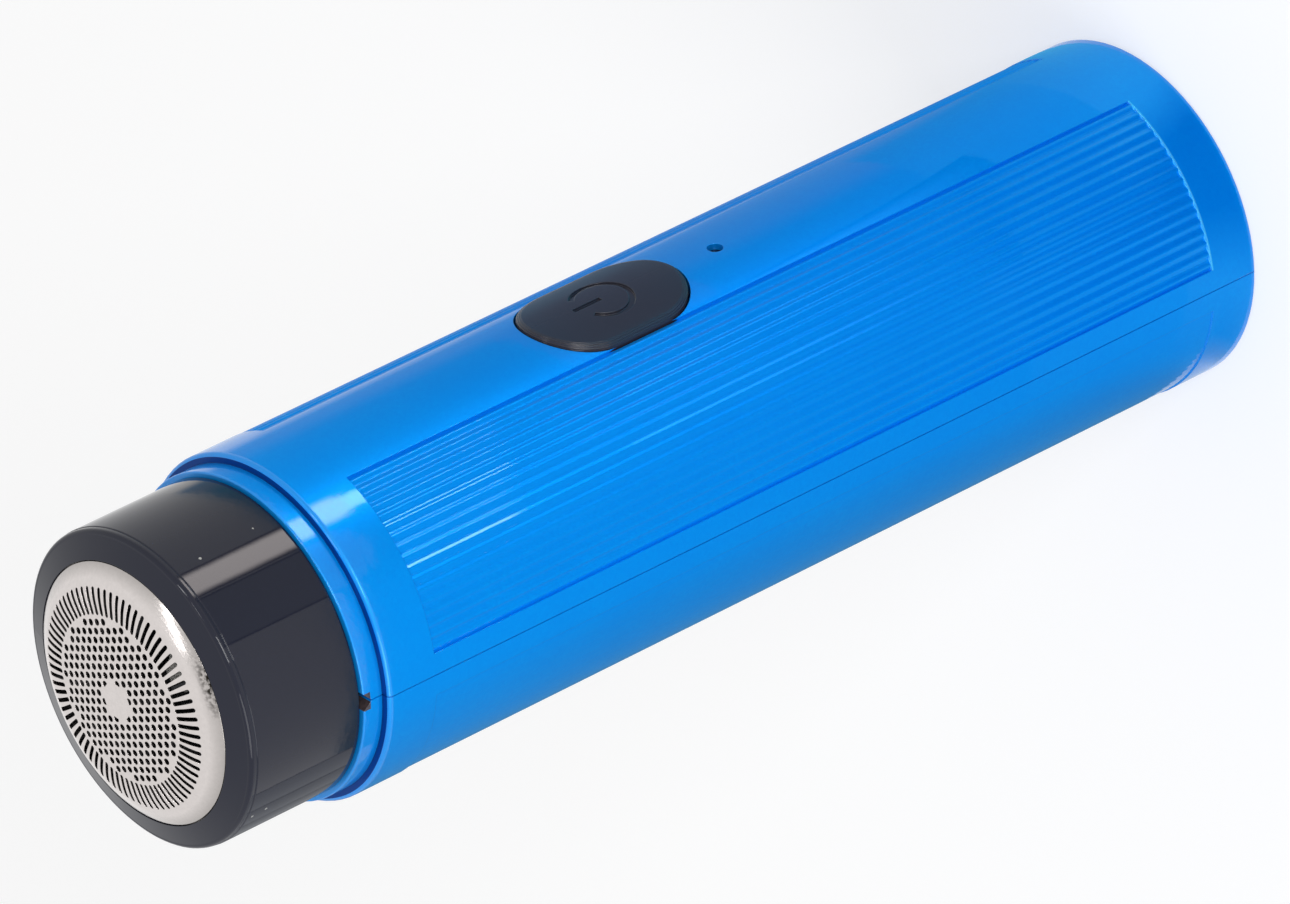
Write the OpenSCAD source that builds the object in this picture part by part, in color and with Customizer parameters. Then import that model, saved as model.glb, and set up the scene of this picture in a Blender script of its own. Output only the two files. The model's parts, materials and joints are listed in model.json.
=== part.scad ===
// Pocket rotary shaver with a round body, modelled standing on its flat base.
// +Z runs along the body towards the foil, the power button faces -Y, and the
// origin is the centre of the base. Every length is in millimetres.

/* [Body] */
// Diameter of the round body
body_d = 33; // [32.6:0.1:36]
// Height from the flat base to the shoulder below the collar
body_len = 103.5; // [100:0.5:116]
// Thickness of the shells' side wall
wall = 1.4; // [1.3:0.05:1.5]
// Thickness of the shells' base
base_wall = 1.5; // [1.2:0.1:2]
// Round where the base meets the side
base_round = 0.3; // [0.1:0.05:0.6]
// Round on the shoulder below the collar
shoulder_round = 0.4; // [0.1:0.05:0.6]
// Width of the fine seam where the shells meet
seam = 0.08; // [0.06:0.02:0.2]
// Depth of the tongue that keys the front shell into the back shell
tongue_depth = 1.2; // [0.8:0.1:1.6]
// Thickness of that tongue
tongue_t = 0.6; // [0.4:0.05:0.7]

/* [Collar and neck] */
// How far the collar round the head stands in from the body
collar_step = 0.9; // [0.7:0.05:1.1]
// Height of the collar above the shoulder
collar_len = 2.15; // [1.5:0.05:3]
// Round on the collar's front edge
collar_round = 0.15; // [0.05:0.05:0.3]
// Half the width of the notch in the collar's front edge
notch_w = 0.9; // [0.4:0.1:1.5]
// Depth of that notch
notch_depth = 0.9; // [0.4:0.1:1.2]
// Depth of the neck, from the shoulder down to the deck
neck_depth = 3.1; // [2.6:0.1:4]

/* [Grip panels] */
// Height of the panels' lower edge
panel_z0 = 5.2; // [3:0.1:8]
// Distance from the shoulder down to the panels' upper edge
panel_top = 5.4; // [5:0.1:10]
// Angle from the button line to a panel's near edge
panel_a0 = 20; // [18:0.5:24]
// Angle from the button line to a panel's far edge
panel_a1 = 82.6; // [78:0.2:84]
// Depth of the ribbed front panels below the body's surface
panel_depth = 0.25; // [0.15:0.05:0.4]
// Depth of the plain back panels
back_depth = 0.12; // [0.08:0.02:0.3]
// Number of ribs on each front panel
rib_count = 17; // [11:1:21]
// Height of a rib above the panel's floor
rib_h = 0.19; // [0.08:0.01:0.25]
// Width of a rib at its foot
rib_foot = 0.98; // [0.6:0.02:1.02]

/* [Head] */
// How far the black cap stands in from the collar
cap_step = 0.5; // [0.3:0.05:0.65]
// Length of the cap above the collar
head_len = 12.25; // [11.6:0.05:15]
// Wall thickness of the cap
cap_wall = 1.5; // [1.3:0.05:1.6]
// Thickness of the cap's front ring
bezel_t = 1.4; // [1:0.1:1.8]
// Height of the small step at the cap's front edge
bezel_step_h = 0.7; // [0.6:0.02:0.9]
// Depth of that step
bezel_step = 0.06; // [0.04:0.02:0.4]
// Round on the cap's front edge
bezel_round = 0.45; // [0.1:0.05:0.5]
// Rise of the cap's front face from that edge in to the foil
bezel_rise = 0.72; // [0.4:0.02:0.8]
// How far the spigot stands in from the cap's side
spigot_step = 1.2; // [1.1:0.05:1.3]
// Wall thickness of the spigot
spigot_wall = 1; // [0.8:0.05:1.2]
// Height of the ring that holds the foil in the cap
retainer_h = 2.4; // [1.6:0.1:3]

/* [Foil] */
// Width of the cap's front face round the foil
bezel_face = 2.7; // [2.6:0.05:3]
// Thickness of the foil sheet
foil_t = 0.2; // [0.2:0.02:0.36]
// Height of the foil's middle above the cap's front edge
foil_rise = 2.65; // [2.2:0.05:3]
// Radius of the foil's shallow dome
dome_r = 80; // [70:1:120]
// Width of the round rim outside the dome
rim_w = 3.4; // [3:0.1:3.8]
// Radius of that rim's section
rim_r = 6.5; // [5:0.1:8]
// Width of the flange that the retainer clamps
flange_w = 0.9; // [0.6:0.05:1]
// Number of slots in the outer ring
slot_count = 75; // [60:1:90]
// Width of the plain band outside the slots
slot_band = 1.9; // [1.4:0.05:2.1]
// Length of one slot
slot_len = 2.5; // [2:0.05:2.8]
// Width of one slot
slot_w = 0.4; // [0.25:0.01:0.5]
// Angle between a slot and the radius that it starts on
slot_skew = 6; // [0:1:12]
// Spacing of the round holes
hole_pitch = 0.94; // [0.85:0.01:1.2]
// Diameter of one round hole
hole_d = 0.64; // [0.4:0.02:0.64]
// Turn of the hole pattern about the foil's middle
hole_turn = 23; // [0:1:60]
// Radius of the plain disc in the middle
plain_r = 1.75; // [1.6:0.05:2.4]

/* [Cutter] */
// Number of blades on the spinning cutter
blade_count = 9; // [6:1:12]
// Thickness of one blade
blade_t = 0.6; // [0.4:0.05:0.8]
// Running gap between the blades and the foil
blade_gap = 0.15; // [0.12:0.01:0.25]
// Radius where a blade starts
blade_r0 = 2.8; // [2.6:0.1:3.6]
// Rake of the blades away from the radius
blade_rake = 14; // [0:1:20]
// Height of the blades above their ring
blade_h = 6.2; // [5:0.1:7]
// Thickness of the ring that the blades stand on
blade_ring_t = 0.5; // [0.4:0.05:0.8]
// How far the carrier disc stands in from the slots' outer ends
carrier_in = 1; // [0.4:0.1:1.6]
// Thickness of the carrier disc
carrier_t = 1.4; // [1.2:0.1:2]
// Radius of the carrier's hub
carrier_hub_r = 3.7; // [3.4:0.05:3.9]
// How far the cutter can be pressed down on its spring
cutter_float = 0.8; // [0.4:0.1:1.2]
// Width across flats of the hexagonal drive
drive_af = 3.9; // [3.6:0.1:4.2]
// Gap round the hexagonal drive in its socket
drive_gap = 0.15; // [0.12:0.01:0.25]
// Radius to the middle of the spring's wire
spring_r = 4.5; // [4.4:0.05:4.8]
// Diameter of the spring's wire
spring_wire = 0.45; // [0.3:0.05:0.5]
// Number of turns of the spring
spring_turns = 4; // [3:1:6]

/* [Motor] */
// Space between the motor can and the shells
motor_side = 4.9; // [4.6:0.1:5.3]
// How far the can's flats stand in from its round sides
flat_in = 2.5; // [2.3:0.1:2.9]
// Length of the motor can
motor_len = 26; // [25:0.5:27]
// Wall thickness of the motor can
can_t = 0.8; // [0.6:0.05:1]
// Thickness of the motor's plastic end cap
end_cap_t = 2.2; // [1.8:0.1:2.8]
// Diameter of the motor shaft
shaft_d = 2; // [1.5:0.1:2.3]
// Radius of the armature as a share of the can's radius
armature_share = 0.608; // [0.56:0.002:0.612]
// Length of the armature's laminated core
core_len = 12; // [10:0.5:13]
// Air gap between the armature and the magnets
air_gap = 0.5; // [0.4:0.05:0.8]
// Diameter of the screws that hold the motor
motor_screw_d = 2; // [1.6:0.1:2.2]
// Distance from the shaft to a motor screw
motor_screw_r = 6.2; // [6:0.1:6.6]

/* [Deck] */
// Thickness of the deck that closes the neck
deck_t = 2.4; // [2.2:0.1:3]
// Diameter of the motor's front bearing boss
boss_d = 6.2; // [5.8:0.1:6.4]
// Height of that boss
boss_h = 1.2; // [0.8:0.1:1.4]
// Diameter of the shaft seal
shaft_seal_d = 5.2; // [4.8:0.1:5.6]
// Height of the shaft seal
shaft_seal_h = 1.2; // [0.8:0.1:1.2]
// Thickness of the seal round the deck's rim
deck_seal_d = 1.1; // [0.9:0.05:1.2]

/* [Battery] */
// Space on each side of the cell for the rails and posts
cell_side = 8.1; // [8:0.1:8.4]
// Space between the cell's cradle and the motor
cell_space = 10; // [9:0.5:14]
// Distance of the cell's axis behind the body's axis
cell_y = 4; // [3.8:0.1:4.4]
// Space between the base and the cradle
cradle_z = 6.4; // [6:0.1:7]
// Thickness of the cradle's walls
cradle_t = 1.2; // [1:0.1:1.3]
// Thickness of the cell's welded tabs
tab_t = 0.25; // [0.15:0.05:0.3]
// Width of the tabs
tab_w = 4; // [3:0.2:5]

/* [Electronics] */
// Distance from the board's studs to its side edges
board_edge = 2; // [1.8:0.1:2.2]
// Thickness of the circuit board
board_t = 1; // [0.8:0.1:1.2]
// Depth of the board's front face below the body's surface
board_depth = 7; // [6.9:0.05:7.2]
// Height of the board above the switch's middle
board_over = 6.5; // [5:0.5:7]
// Distance from the button's middle down to the indicator lamp
led_below = 13.4; // [12:0.1:17]
// Diameter of the indicator's light pipe
pipe_d = 1.4; // [1:0.05:1.6]
// Width of the charging socket
socket_w = 8.94; // [8.6:0.02:9.2]
// Height of the charging socket
socket_h = 3.26; // [3:0.02:3.4]
// Length of the charging socket
socket_len = 7.35; // [6.4:0.05:7.6]

/* [Button] */
// Distance from the shoulder down to the button's middle
button_below = 39.9; // [39.3:0.1:42]
// Length of the button along the body
button_len = 16.8; // [15:0.1:17.4]
// Width of the button round the body
button_w = 10.9; // [10:0.1:11.2]
// Gap between the button and its opening
button_gap = 0.2; // [0.15:0.01:0.25]
// How far the button stands out of the body
button_proud = 0.4; // [0.2:0.05:0.6]
// Travel of the button
button_travel = 0.4; // [0.3:0.05:0.45]
// Travel of the switch under it
switch_travel = 0.25; // [0.15:0.01:0.3]
// Diameter of the engraved power symbol
symbol_d = 6; // [4:0.1:6.6]
// Width of the engraved line
symbol_line = 0.54; // [0.2:0.02:0.6]

/* [Fits] */
// Clearance round pieces that are fixed in the body
fit = 0.1; // [0.05:0.01:0.12]
// Clearance of the spigot in the neck
slide_fit = 0.1; // [0.08:0.01:0.15]
// Clearance of the shaft in its bearings
run_fit = 0.03; // [0.02:0.01:0.06]

/* [Hidden] */

// Facets of the large rounds, of the small ones, and the overlap of a cut.
big_fn = 128;
small_fn = 48;
cut = 1;

// Radii and heights of the body and neck.
body_r = body_d / 2;
inner_r = body_r - wall;
collar_r = body_r - collar_step;
collar_z = body_len + collar_len;
deck_top = body_len - neck_depth;
deck_z = deck_top - deck_t;
head_r = collar_r - cap_step;
spigot_r = head_r - spigot_step;
neck_r = spigot_r + slide_fit;
rib_ring = 1.2;
tongue_z1 = deck_z - fit - 2 * rib_ring;
tongue_root = 0.6;
panel_z1 = body_len - panel_top;
rib_steps = 4;

// Head: the cap stands a hair above the collar, its spigot above the deck.
seat_gap = 0.1;
spigot_gap = 0.4;
spigot_chamfer = 0.3;
cap_z0 = collar_z + seat_gap;
cap_z1 = cap_z0 + head_len;
spigot_z0 = deck_top + spigot_gap;
cap_in_r = head_r - cap_wall;
step_round = 0.12;
foil_r = head_r - bezel_face;
foil_top = cap_z1 + foil_rise;
bezel_hole_r = foil_r + fit;
flange_top = cap_z1 - bezel_t;
retainer_z1 = flange_top - foil_t;
retainer_z0 = retainer_z1 - retainer_h;
// The round rim takes over from the dome at this angle, about this centre.
dome_edge = asin((foil_r - rim_w) / dome_r);
rim_x = (dome_r - rim_r) * sin(dome_edge);
rim_z = foil_top - dome_r + (dome_r - rim_r) * cos(dome_edge);
slot_r1 = foil_r - slot_band;
slot_r0 = slot_r1 - slot_len;
hole_margin = 0.15;

// Nibs that hold the retainer, and the finger notches in it.
retainer_nib_h = 0.6;
retainer_nib_reach = 0.5;
retainer_nib_root = 0.1;
retainer_nib_turn = 16;
finger_w = 4;
finger_depth = 0.6;

// Cutter stack, measured down from the foil.
blade_over = 0.1;
blade_r1 = slot_r1 + blade_over;
blade_ring_z = foil_top - foil_t - blade_gap - blade_h - blade_ring_t;
carrier_r = slot_r1 - carrier_in;
carrier_z1 = blade_ring_z;
carrier_z0 = carrier_z1 - carrier_t;
stop_gap = 0.3;
drive_top = carrier_z0 - cutter_float - stop_gap;
coupler_gap = 0.6;
coupler_z0 = deck_top + shaft_seal_h + coupler_gap;
coupler_flange_t = 1;
coupler_rim = 0.5;
coupler_flange_r = spring_r + spring_wire / 2 + coupler_rim;
hub_z0 = coupler_z0 + coupler_flange_t + cutter_float + 2 * stop_gap;
shaft_short = 1.5;
shaft_top = drive_top - shaft_short;
drive_r = drive_af / sqrt(3);
socket_r = (drive_af + 2 * drive_gap) / sqrt(3);
spring_gap = 0.02;
pin_place = 5.4;
pin_r = 0.6;
pin_gap = 0.05;
pin_over = 0.3;
ring_hole_r = 2;
window_r = 0.9;
window_edge = 1.05;
window_place = carrier_r - window_r - window_edge;

// Motor, hung under the deck.
motor_r = inner_r - motor_side;
motor_flat = 2 * (motor_r - flat_in);
armature_r = armature_share * motor_r;
magnet_r = armature_r + air_gap;
motor_z0 = deck_z - motor_len;
end_cap_z0 = motor_z0 - end_cap_t;
end_boss_h = 0.8;
end_boss_wall = 1.6;
shaft_r = shaft_d / 2;
shaft_foot = 0.6;
front_space = 5.5;
core_z1 = deck_z - can_t - front_space;
core_z0 = core_z1 - core_len;
magnet_over = 1;
magnet_gap = 0.03;
pole_neck = 2;
pole_turn = 50;
shoe_t = 1;
hub_wall = 1.2;
hub_r = shaft_r + hub_wall;
coil_over = 1.6;
coil_w = 0.9;
coil_gap = 0.1;
commutator_wall = 1.4;
commutator_r = shaft_r + commutator_wall;
commutator_z0 = motor_z0 + commutator_wall;
commutator_z1 = core_z0 - coil_over - stop_gap;
brush_t = 0.4;
brush_gap = 0.12;
terminal_in = 4;
terminal_x = motor_r - terminal_in;
terminal_len = 3;
terminal_w = 2.4;
terminal_gap = 0.05;
motor_head_h = 1.1;
motor_head_gap = 0.1;
motor_screw_over = 0.6;

// Battery and its cradle, between the base and the motor.
cell_r = inner_r - cell_side;
trough_r = cell_r + fit;
cradle_r = trough_r + cradle_t;
cradle_z0 = base_wall + cradle_z;
cradle_z1 = end_cap_z0 - cell_space;
cell_button_h = 0.8;
cell_button_r = 2.6;
cell_z0 = cradle_z0 + cradle_t + tab_t + fit;
cell_z1 = cradle_z1 - cradle_t - fit - tab_t - cell_button_h;
cell_len = cell_z1 - cell_z0;
tab_over = 1;
tab_end_y = cell_y - cradle_r - tab_over;

// Side rails of the chassis, with the screws that hold it to the back shell.
rail_y0 = -0.2;
rail_t = 1.2;
rail_lap = 0.3;
rail_side = 2.5;
rail_x0 = cell_r - rail_lap;
rail_x1 = inner_r - rail_side;
saddle_h = 4;
saddle_wall = 1.2;
post_in = 1.6;
post_x = rail_x1 - post_in;
post_r = 2.1;
post_hole_r = 0.8;
post_end = 8;
post_low = cradle_z0 + post_end;
post_high = cell_z1 - 0.75 * post_end;
screw_shank_r = 1;
screw_head_r = 1.7;
screw_head_h = 1.2;
screw_len = 6;
screw_slot_w = 0.4;

// Snap tabs along the seam, with their nibs.
snap_len = 6;
tab_heights = [cradle_z0 + snap_len / 3, (post_low + post_high) / 2, end_cap_z0 + 2 * snap_len];
snap_t = 1;
snap_in = 0.55;
snap_x = inner_r - snap_in;
snap_y = 2.3;
snap_root = 3;
snap_tip = 1.6;
nib_r = 0.4;

// Board, its posts and its screws.
button_z = body_len - button_below;
led_z = button_z - led_below;
board_y = body_r - board_depth;
board_back = board_y - board_t;
board_foot = 0.5;
board_z0 = base_wall + board_foot;
board_z1 = button_z + board_over;
stud_in = 1.3;
stud_x = rail_x0 + stud_in;
board_w = 2 * (stud_x + board_edge);
stud_r = 1.5;
stud_end = 4;
stud_low = cradle_z0 + stud_end;
stud_high = led_z + stud_end;
stud_hole_r = 0.6;
board_screw_r = 0.8;
board_screw_head_r = 1.3;
board_screw_head_h = 0.9;
board_screw_len = 4;
chip_side = 4;
chip_t = 1.5;
chip_row = 9;
cap_side = 1.2;
cap_pitch = 2.5;

// Charging socket: its skin, its tongue and the depth of its mouth.
socket_z0 = 0.5;
socket_y = -(board_back - socket_h / 2);
socket_skin = 0.3;
socket_back = 1.2;
socket_tongue = 0.7;
socket_tongue_z = 0.8;
socket_tongue_in = 1.5;

// Button stack, from the body's surface in to the board.
button_face_r = body_r + button_proud;
button_round = 0.45;
button_steps = 4;
frame_depth = 1.8;
frame_y = inner_r - frame_depth;
frame_w = 0.9;
flange_y1 = frame_y - fit;
flange_t = 0.8;
button_flange = 0.9;
button_post_r = 1.5;
switch_size = 6;
switch_h = 1.8;
switch_well = 1.2;
press_slack = 0.05;
plunger_h = 0.55;
plunger_r = 1.6;
plunger_y1 = board_y + switch_h + plunger_h;
press_gap = button_travel - switch_travel + press_slack;
symbol_depth = 0.22;
symbol_gap = 36;

// Indicator lamp and its light pipe.
led_w = 1.6;
led_h = 0.6;
pipe_gap = 0.3;
pipe_sunk = 0.6;
pipe_rim = 0.6;
pipe_rim_t = 1;
pipe_rim_gap = 0.2;

// Leads: wire, how far it lies on a tab or terminal, and its bends.
wire_r = 0.45;
lead_lap = 0.8;
lead_gap = 0.05;
lead_drop = 1.8;
lead_x = 5;
tab_lead_x = 2;
tab_lead_rise = 2.2;

// ---------------------------------------------------------------- helpers

// Points on an arc in the plane, from angle a0 to angle a1.
function arc(cx, cy, r, a0, a1, n = 6) =
    [for (i = [0:n]) let (a = a0 + (a1 - a0) * i / n) [cx + r * cos(a), cy + r * sin(a)]];

// A rectangle with two round ends, length along X.
module stadium(length, width) {
    square([length - width, width], center = true);
    for (s = [-1, 1])
        translate([s * (length - width) / 2, 0]) circle(d = width, $fn = small_fn);
}

// The sector of a ring between two angles.
module ring_sector(r0, r1, a0, a1) {
    polygon(concat(arc(0, 0, r1, a0, a1, 24), arc(0, 0, r0, a1, a0, 24)));
}

// Turns a flat shape drawn in X (round the body) and Y (up) to face -Y, and
// gives it the depth from y0 out to y1 in front of the axis.
module facing_front(y0, y1) {
    translate([0, -y0, 0]) rotate([90, 0, 0]) linear_extrude(y1 - y0) children();
}

// A screw with a round head: the head is above the origin, the shank below.
module screw(shank_r, head_r, head_h, length) {
    difference() {
        cylinder(r = head_r, h = head_h, $fn = small_fn);
        for (a = [0, 90])
            rotate(a) translate([-head_r * 0.6, -screw_slot_w / 2, head_h / 2])
                cube([head_r * 1.2, screw_slot_w, head_h]);
    }
    translate([0, 0, -length]) cylinder(r = shank_r, h = length, $fn = small_fn);
}

// Point on a smooth curve that leaves a towards b and reaches d from c.
function bend_point(a, b, c, d, t) =
    pow(1 - t, 3) * a + 3 * pow(1 - t, 2) * t * b + 3 * (1 - t) * t * t * c + t * t * t * d;
function bend(a, b, c, d, steps = 16) = [for (i = [0:steps]) bend_point(a, b, c, d, i / steps)];

// A round wire along a path that never runs along the given axis.
function unit(v) = v / norm(v);
module sweep(path, r, axis, sides = 8) {
    n = len(path);
    rings = [for (i = [0:n - 1])
        let (d = unit(path[min(i + 1, n - 1)] - path[max(i - 1, 0)]),
             u = unit(cross(d, axis)),
             v = cross(d, u))
        for (k = [0:sides - 1])
            path[i] + r * cos(360 * k / sides) * u + r * sin(360 * k / sides) * v];
    walls = [for (i = [0:n - 2]) for (k = [0:sides - 1])
        [i * sides + k, i * sides + (k + 1) % sides,
         (i + 1) * sides + (k + 1) % sides, (i + 1) * sides + k]];
    ends = [[for (k = [sides - 1:-1:0]) k],
            [for (k = [0:sides - 1]) (n - 1) * sides + k]];
    polyhedron(rings, concat(walls, ends));
}

// ----------------------------------------------------------------- shells

// Half section of the two shells: base, wall, deck rib, neck and collar.
module shell_section() {
    rib_z1 = deck_z - fit;
    rib_z0 = rib_z1 - rib_ring;
    polygon(concat(
        [[0, 0]],
        arc(body_r - base_round, base_round, base_round, -90, 0),
        arc(body_r - shoulder_round, body_len - shoulder_round, shoulder_round, 0, 90),
        [[collar_r, body_len]],
        arc(collar_r - collar_round, collar_z - collar_round, collar_round, 0, 90, 3),
        [[neck_r, collar_z], [neck_r, deck_top + fit],
         [inner_r, deck_top + fit], [inner_r, rib_z1],
         [inner_r - rib_ring, rib_z1], [inner_r - rib_ring, rib_z0],
         [inner_r, rib_z0 - rib_ring], [inner_r, base_wall], [0, base_wall]]));
}

// Back half of the plain body, cut away from the seam.
module half_body() {
    difference() {
        rotate_extrude(angle = 180, $fn = big_fn) shell_section();
        translate([-body_d, -cut, -cut]) cube([2 * body_d, cut + seam / 2, body_len * 2]);
        // The collar's corners are cut back at the seam and make a small notch.
        for (s = [-1, 1])
            translate([s * collar_r, 0, collar_z])
                rotate([90, 0, 90]) linear_extrude(6, center = true)
                    polygon([[-cut, -notch_depth], [seam / 2, -notch_depth],
                             [notch_w, 0], [notch_w, cut], [-cut, cut]]);
    }
}

// Section of a rib: one wave that stands on the panel's floor.
function rib_section() = concat([[-cut, rib_foot / 2], [-cut, -rib_foot / 2]],
    [for (k = [-rib_steps:rib_steps])
        [rib_h * (1 + cos(180 * k / rib_steps)) / 2, rib_foot * k / (2 * rib_steps)]]);

// Cut for one panel, a slice that is sunk into the body. Angles run from +X.
module panel_cut(depth, a0, a1, ribbed) {
    floor_r = body_r - depth;
    translate([0, 0, panel_z0]) linear_extrude(panel_z1 - panel_z0)
        difference() {
            ring_sector(floor_r, body_r + cut, a0, a1);
            if (ribbed)
                for (i = [0:rib_count - 1])
                    rotate(a0 + (a1 - a0) * (i + 0.5) / rib_count)
                        translate([floor_r, 0]) polygon(rib_section());
        }
}

module front_shell() {
    color([0.02, 0.45, 0.88])
    difference() {
        union() {
            difference() {
                mirror([0, 1, 0]) half_body();
                for (s = [-1, 1])
                    panel_cut(panel_depth, -90 + (s > 0 ? panel_a0 : -panel_a1),
                              -90 + (s > 0 ? panel_a1 : -panel_a0), true);
            }
            // Tongue along both seams.
            for (s = [-1, 1])
                translate([s > 0 ? inner_r : -inner_r - tongue_t, -tongue_root, base_wall])
                    cube([tongue_t, tongue_root + tongue_depth, tongue_z1 - base_wall]);
            // Snap tabs that reach into the back shell.
            for (s = [-1, 1], z = tab_heights)
                mirror([s > 0 ? 0 : 1, 0, 0]) translate([0, 0, z - snap_len / 2]) {
                    translate([snap_x - snap_t, -snap_root, 0])
                        cube([snap_t + tongue_t, snap_root - tongue_root, snap_len]);
                    translate([snap_x - snap_t, -snap_t, 0])
                        cube([snap_t, snap_y + snap_tip, snap_len]);
                    translate([snap_x, snap_y, 0]) cylinder(r = nib_r, h = snap_len, $fn = 24);
                }
            // Frame round the button's opening, flat on its inner side.
            intersection() {
                translate([0, 0, button_z]) facing_front(frame_y, body_r)
                    rotate(90) stadium(button_len + 2 * (button_gap + frame_w),
                                       button_w + 2 * (button_gap + frame_w));
                cylinder(r = inner_r + wall / 2, h = body_len, $fn = big_fn);
            }
        }
        translate([0, 0, button_z]) facing_front(0, body_r + cut)
            rotate(90) stadium(button_len + 2 * button_gap, button_w + 2 * button_gap);
        translate([0, 0, led_z]) facing_front(0, body_r + cut)
            circle(d = pipe_d + fit, $fn = small_fn);
        translate([0, socket_y, -cut]) linear_extrude(base_wall + 2 * cut)
            stadium(socket_w + 2 * fit, socket_h + 2 * fit);
    }
}

module back_shell() {
    color([0.02, 0.45, 0.88])
    difference() {
        union() {
            half_body();
            // Posts that take the chassis screws.
            intersection() {
                for (s = [-1, 1], z = [post_low, post_high])
                    translate([s * post_x, rail_y0 + rail_t + fit, z])
                        rotate([-90, 0, 0]) cylinder(r = post_r, h = body_r, $fn = small_fn);
                cylinder(r = inner_r + wall / 2, h = body_len, $fn = big_fn);
            }
        }
        for (s = [-1, 1])
            panel_cut(back_depth, 90 + (s > 0 ? panel_a0 : -panel_a1),
                      90 + (s > 0 ? panel_a1 : -panel_a0), false);
        // Rebate for the front shell's tongue.
        for (s = [-1, 1])
            translate([s > 0 ? inner_r - cut : -inner_r - tongue_t - fit, -cut,
                       base_wall - 0.01])
                cube([tongue_t + fit + cut, cut + tongue_depth + fit,
                      tongue_z1 - base_wall + fit]);
        // Pockets for the snap tabs' nibs.
        for (s = [-1, 1], z = tab_heights)
            translate([s * snap_x, snap_y, z - snap_len / 2 - fit])
                cylinder(r = nib_r + fit, h = snap_len + 2 * fit, $fn = 24);
        // Pilot holes in the posts.
        for (s = [-1, 1], z = [post_low, post_high])
            translate([s * post_x, 0, z]) rotate([-90, 0, 0])
                cylinder(r = post_hole_r, h = rail_y0 + rail_t + screw_len, $fn = small_fn);
    }
}

// ------------------------------------------------------------------- head

module head_cap() {
    step_z = cap_z1 - bezel_step_h;
    lip_r = head_r - bezel_step;
    color([0.07, 0.07, 0.08]) {
        rotate_extrude($fn = big_fn)
            polygon(concat(
                [[head_r, cap_z0]],
                arc(head_r - step_round, step_z - step_round, step_round, 0, 90, 3),
                [[lip_r, step_z]],
                arc(lip_r - bezel_round, cap_z1 - bezel_round, bezel_round, 0, 90),
                [[bezel_hole_r, cap_z1 + bezel_rise], [bezel_hole_r, flange_top],
                 [cap_in_r, flange_top], [cap_in_r, cap_z0 + spigot_wall],
                 [spigot_r - spigot_wall, cap_z0 + spigot_wall - (cap_in_r - spigot_r + spigot_wall)],
                 [spigot_r - spigot_wall, spigot_z0], [spigot_r - spigot_chamfer, spigot_z0],
                 [spigot_r, spigot_z0 + spigot_chamfer], [spigot_r, cap_z0]]));
        // Nibs that the retainer snaps behind.
        nib_z1 = retainer_z0 - fit;
        nib_z0 = nib_z1 - retainer_nib_h;
        for (a = [30:60:330])
            rotate(a - retainer_nib_turn / 2)
                rotate_extrude(angle = retainer_nib_turn, $fn = big_fn)
                    polygon([[cap_in_r + retainer_nib_root, nib_z0],
                             [cap_in_r + retainer_nib_root, nib_z1],
                             [cap_in_r - retainer_nib_reach, nib_z1],
                             [cap_in_r - retainer_nib_root, nib_z0]]);
    }
}

// Section inside the foil's outer skin, or inside the skin at depth d under it.
module foil_section(d) {
    steps = 11;
    polygon(concat(
        [[0, retainer_z1 - d]],
        arc(0, foil_top - dome_r, dome_r - d, 90, 90 - dome_edge * steps / (steps + 1), steps),
        arc(rim_x, rim_z, rim_r - d, 90 - dome_edge, acos((foil_r - d - rim_x) / (rim_r - d)),
            steps),
        [[foil_r - d, retainer_z1 - d]]));
}

// Radial slots, each turned a little from its radius.
module slot_ring() {
    for (i = [0:slot_count - 1])
        rotate(i * 360 / slot_count)
            translate([(slot_r0 + slot_r1) / 2, 0]) rotate(slot_skew)
                stadium(slot_len, slot_w);
}

// Hexagonal lattice of round holes between the plain disc and the slots.
module hole_field() {
    reach = slot_r0 - hole_margin - hole_d / 2;
    rows = ceil(reach / (hole_pitch * sqrt(3) / 2));
    columns = ceil(reach / hole_pitch) + 1;
    rotate(hole_turn)
        for (j = [-rows:rows]) for (i = [-columns:columns]) {
            x = (i + (abs(j) % 2) / 2) * hole_pitch;
            y = j * hole_pitch * sqrt(3) / 2;
            if (norm([x, y]) < reach && norm([x, y]) > plain_r)
                translate([x, y]) circle(d = hole_d, $fn = 16);
        }
}

module foil() {
    color([0.85, 0.84, 0.84])
    difference() {
        rotate_extrude($fn = big_fn) {
            difference() {
                foil_section(0);
                foil_section(foil_t);
            }
            translate([foil_r - foil_t, retainer_z1]) square([foil_t + flange_w, foil_t]);
        }
        translate([0, 0, flange_top]) linear_extrude(foil_top - flange_top + cut) {
            slot_ring();
            difference() {
                hole_field();
                circle(r = plain_r, $fn = small_fn);
            }
        }
    }
}

module foil_retainer() {
    color([0.2, 0.2, 0.22])
    difference() {
        translate([0, 0, retainer_z0])
            cylinder(r = cap_in_r - fit, h = retainer_h, $fn = big_fn);
        translate([0, 0, retainer_z0 - cut])
            cylinder(r = foil_r - foil_t, h = retainer_h + 2 * cut, $fn = big_fn);
        // Finger notches for lifting the ring out.
        for (a = [0, 120, 240])
            rotate(a) translate([foil_r - foil_t - finger_depth, -finger_w / 2, retainer_z0 - cut])
                cube([2 * finger_depth, finger_w, cut + retainer_h / 2]);
    }
}

// ----------------------------------------------------------------- cutter

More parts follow.
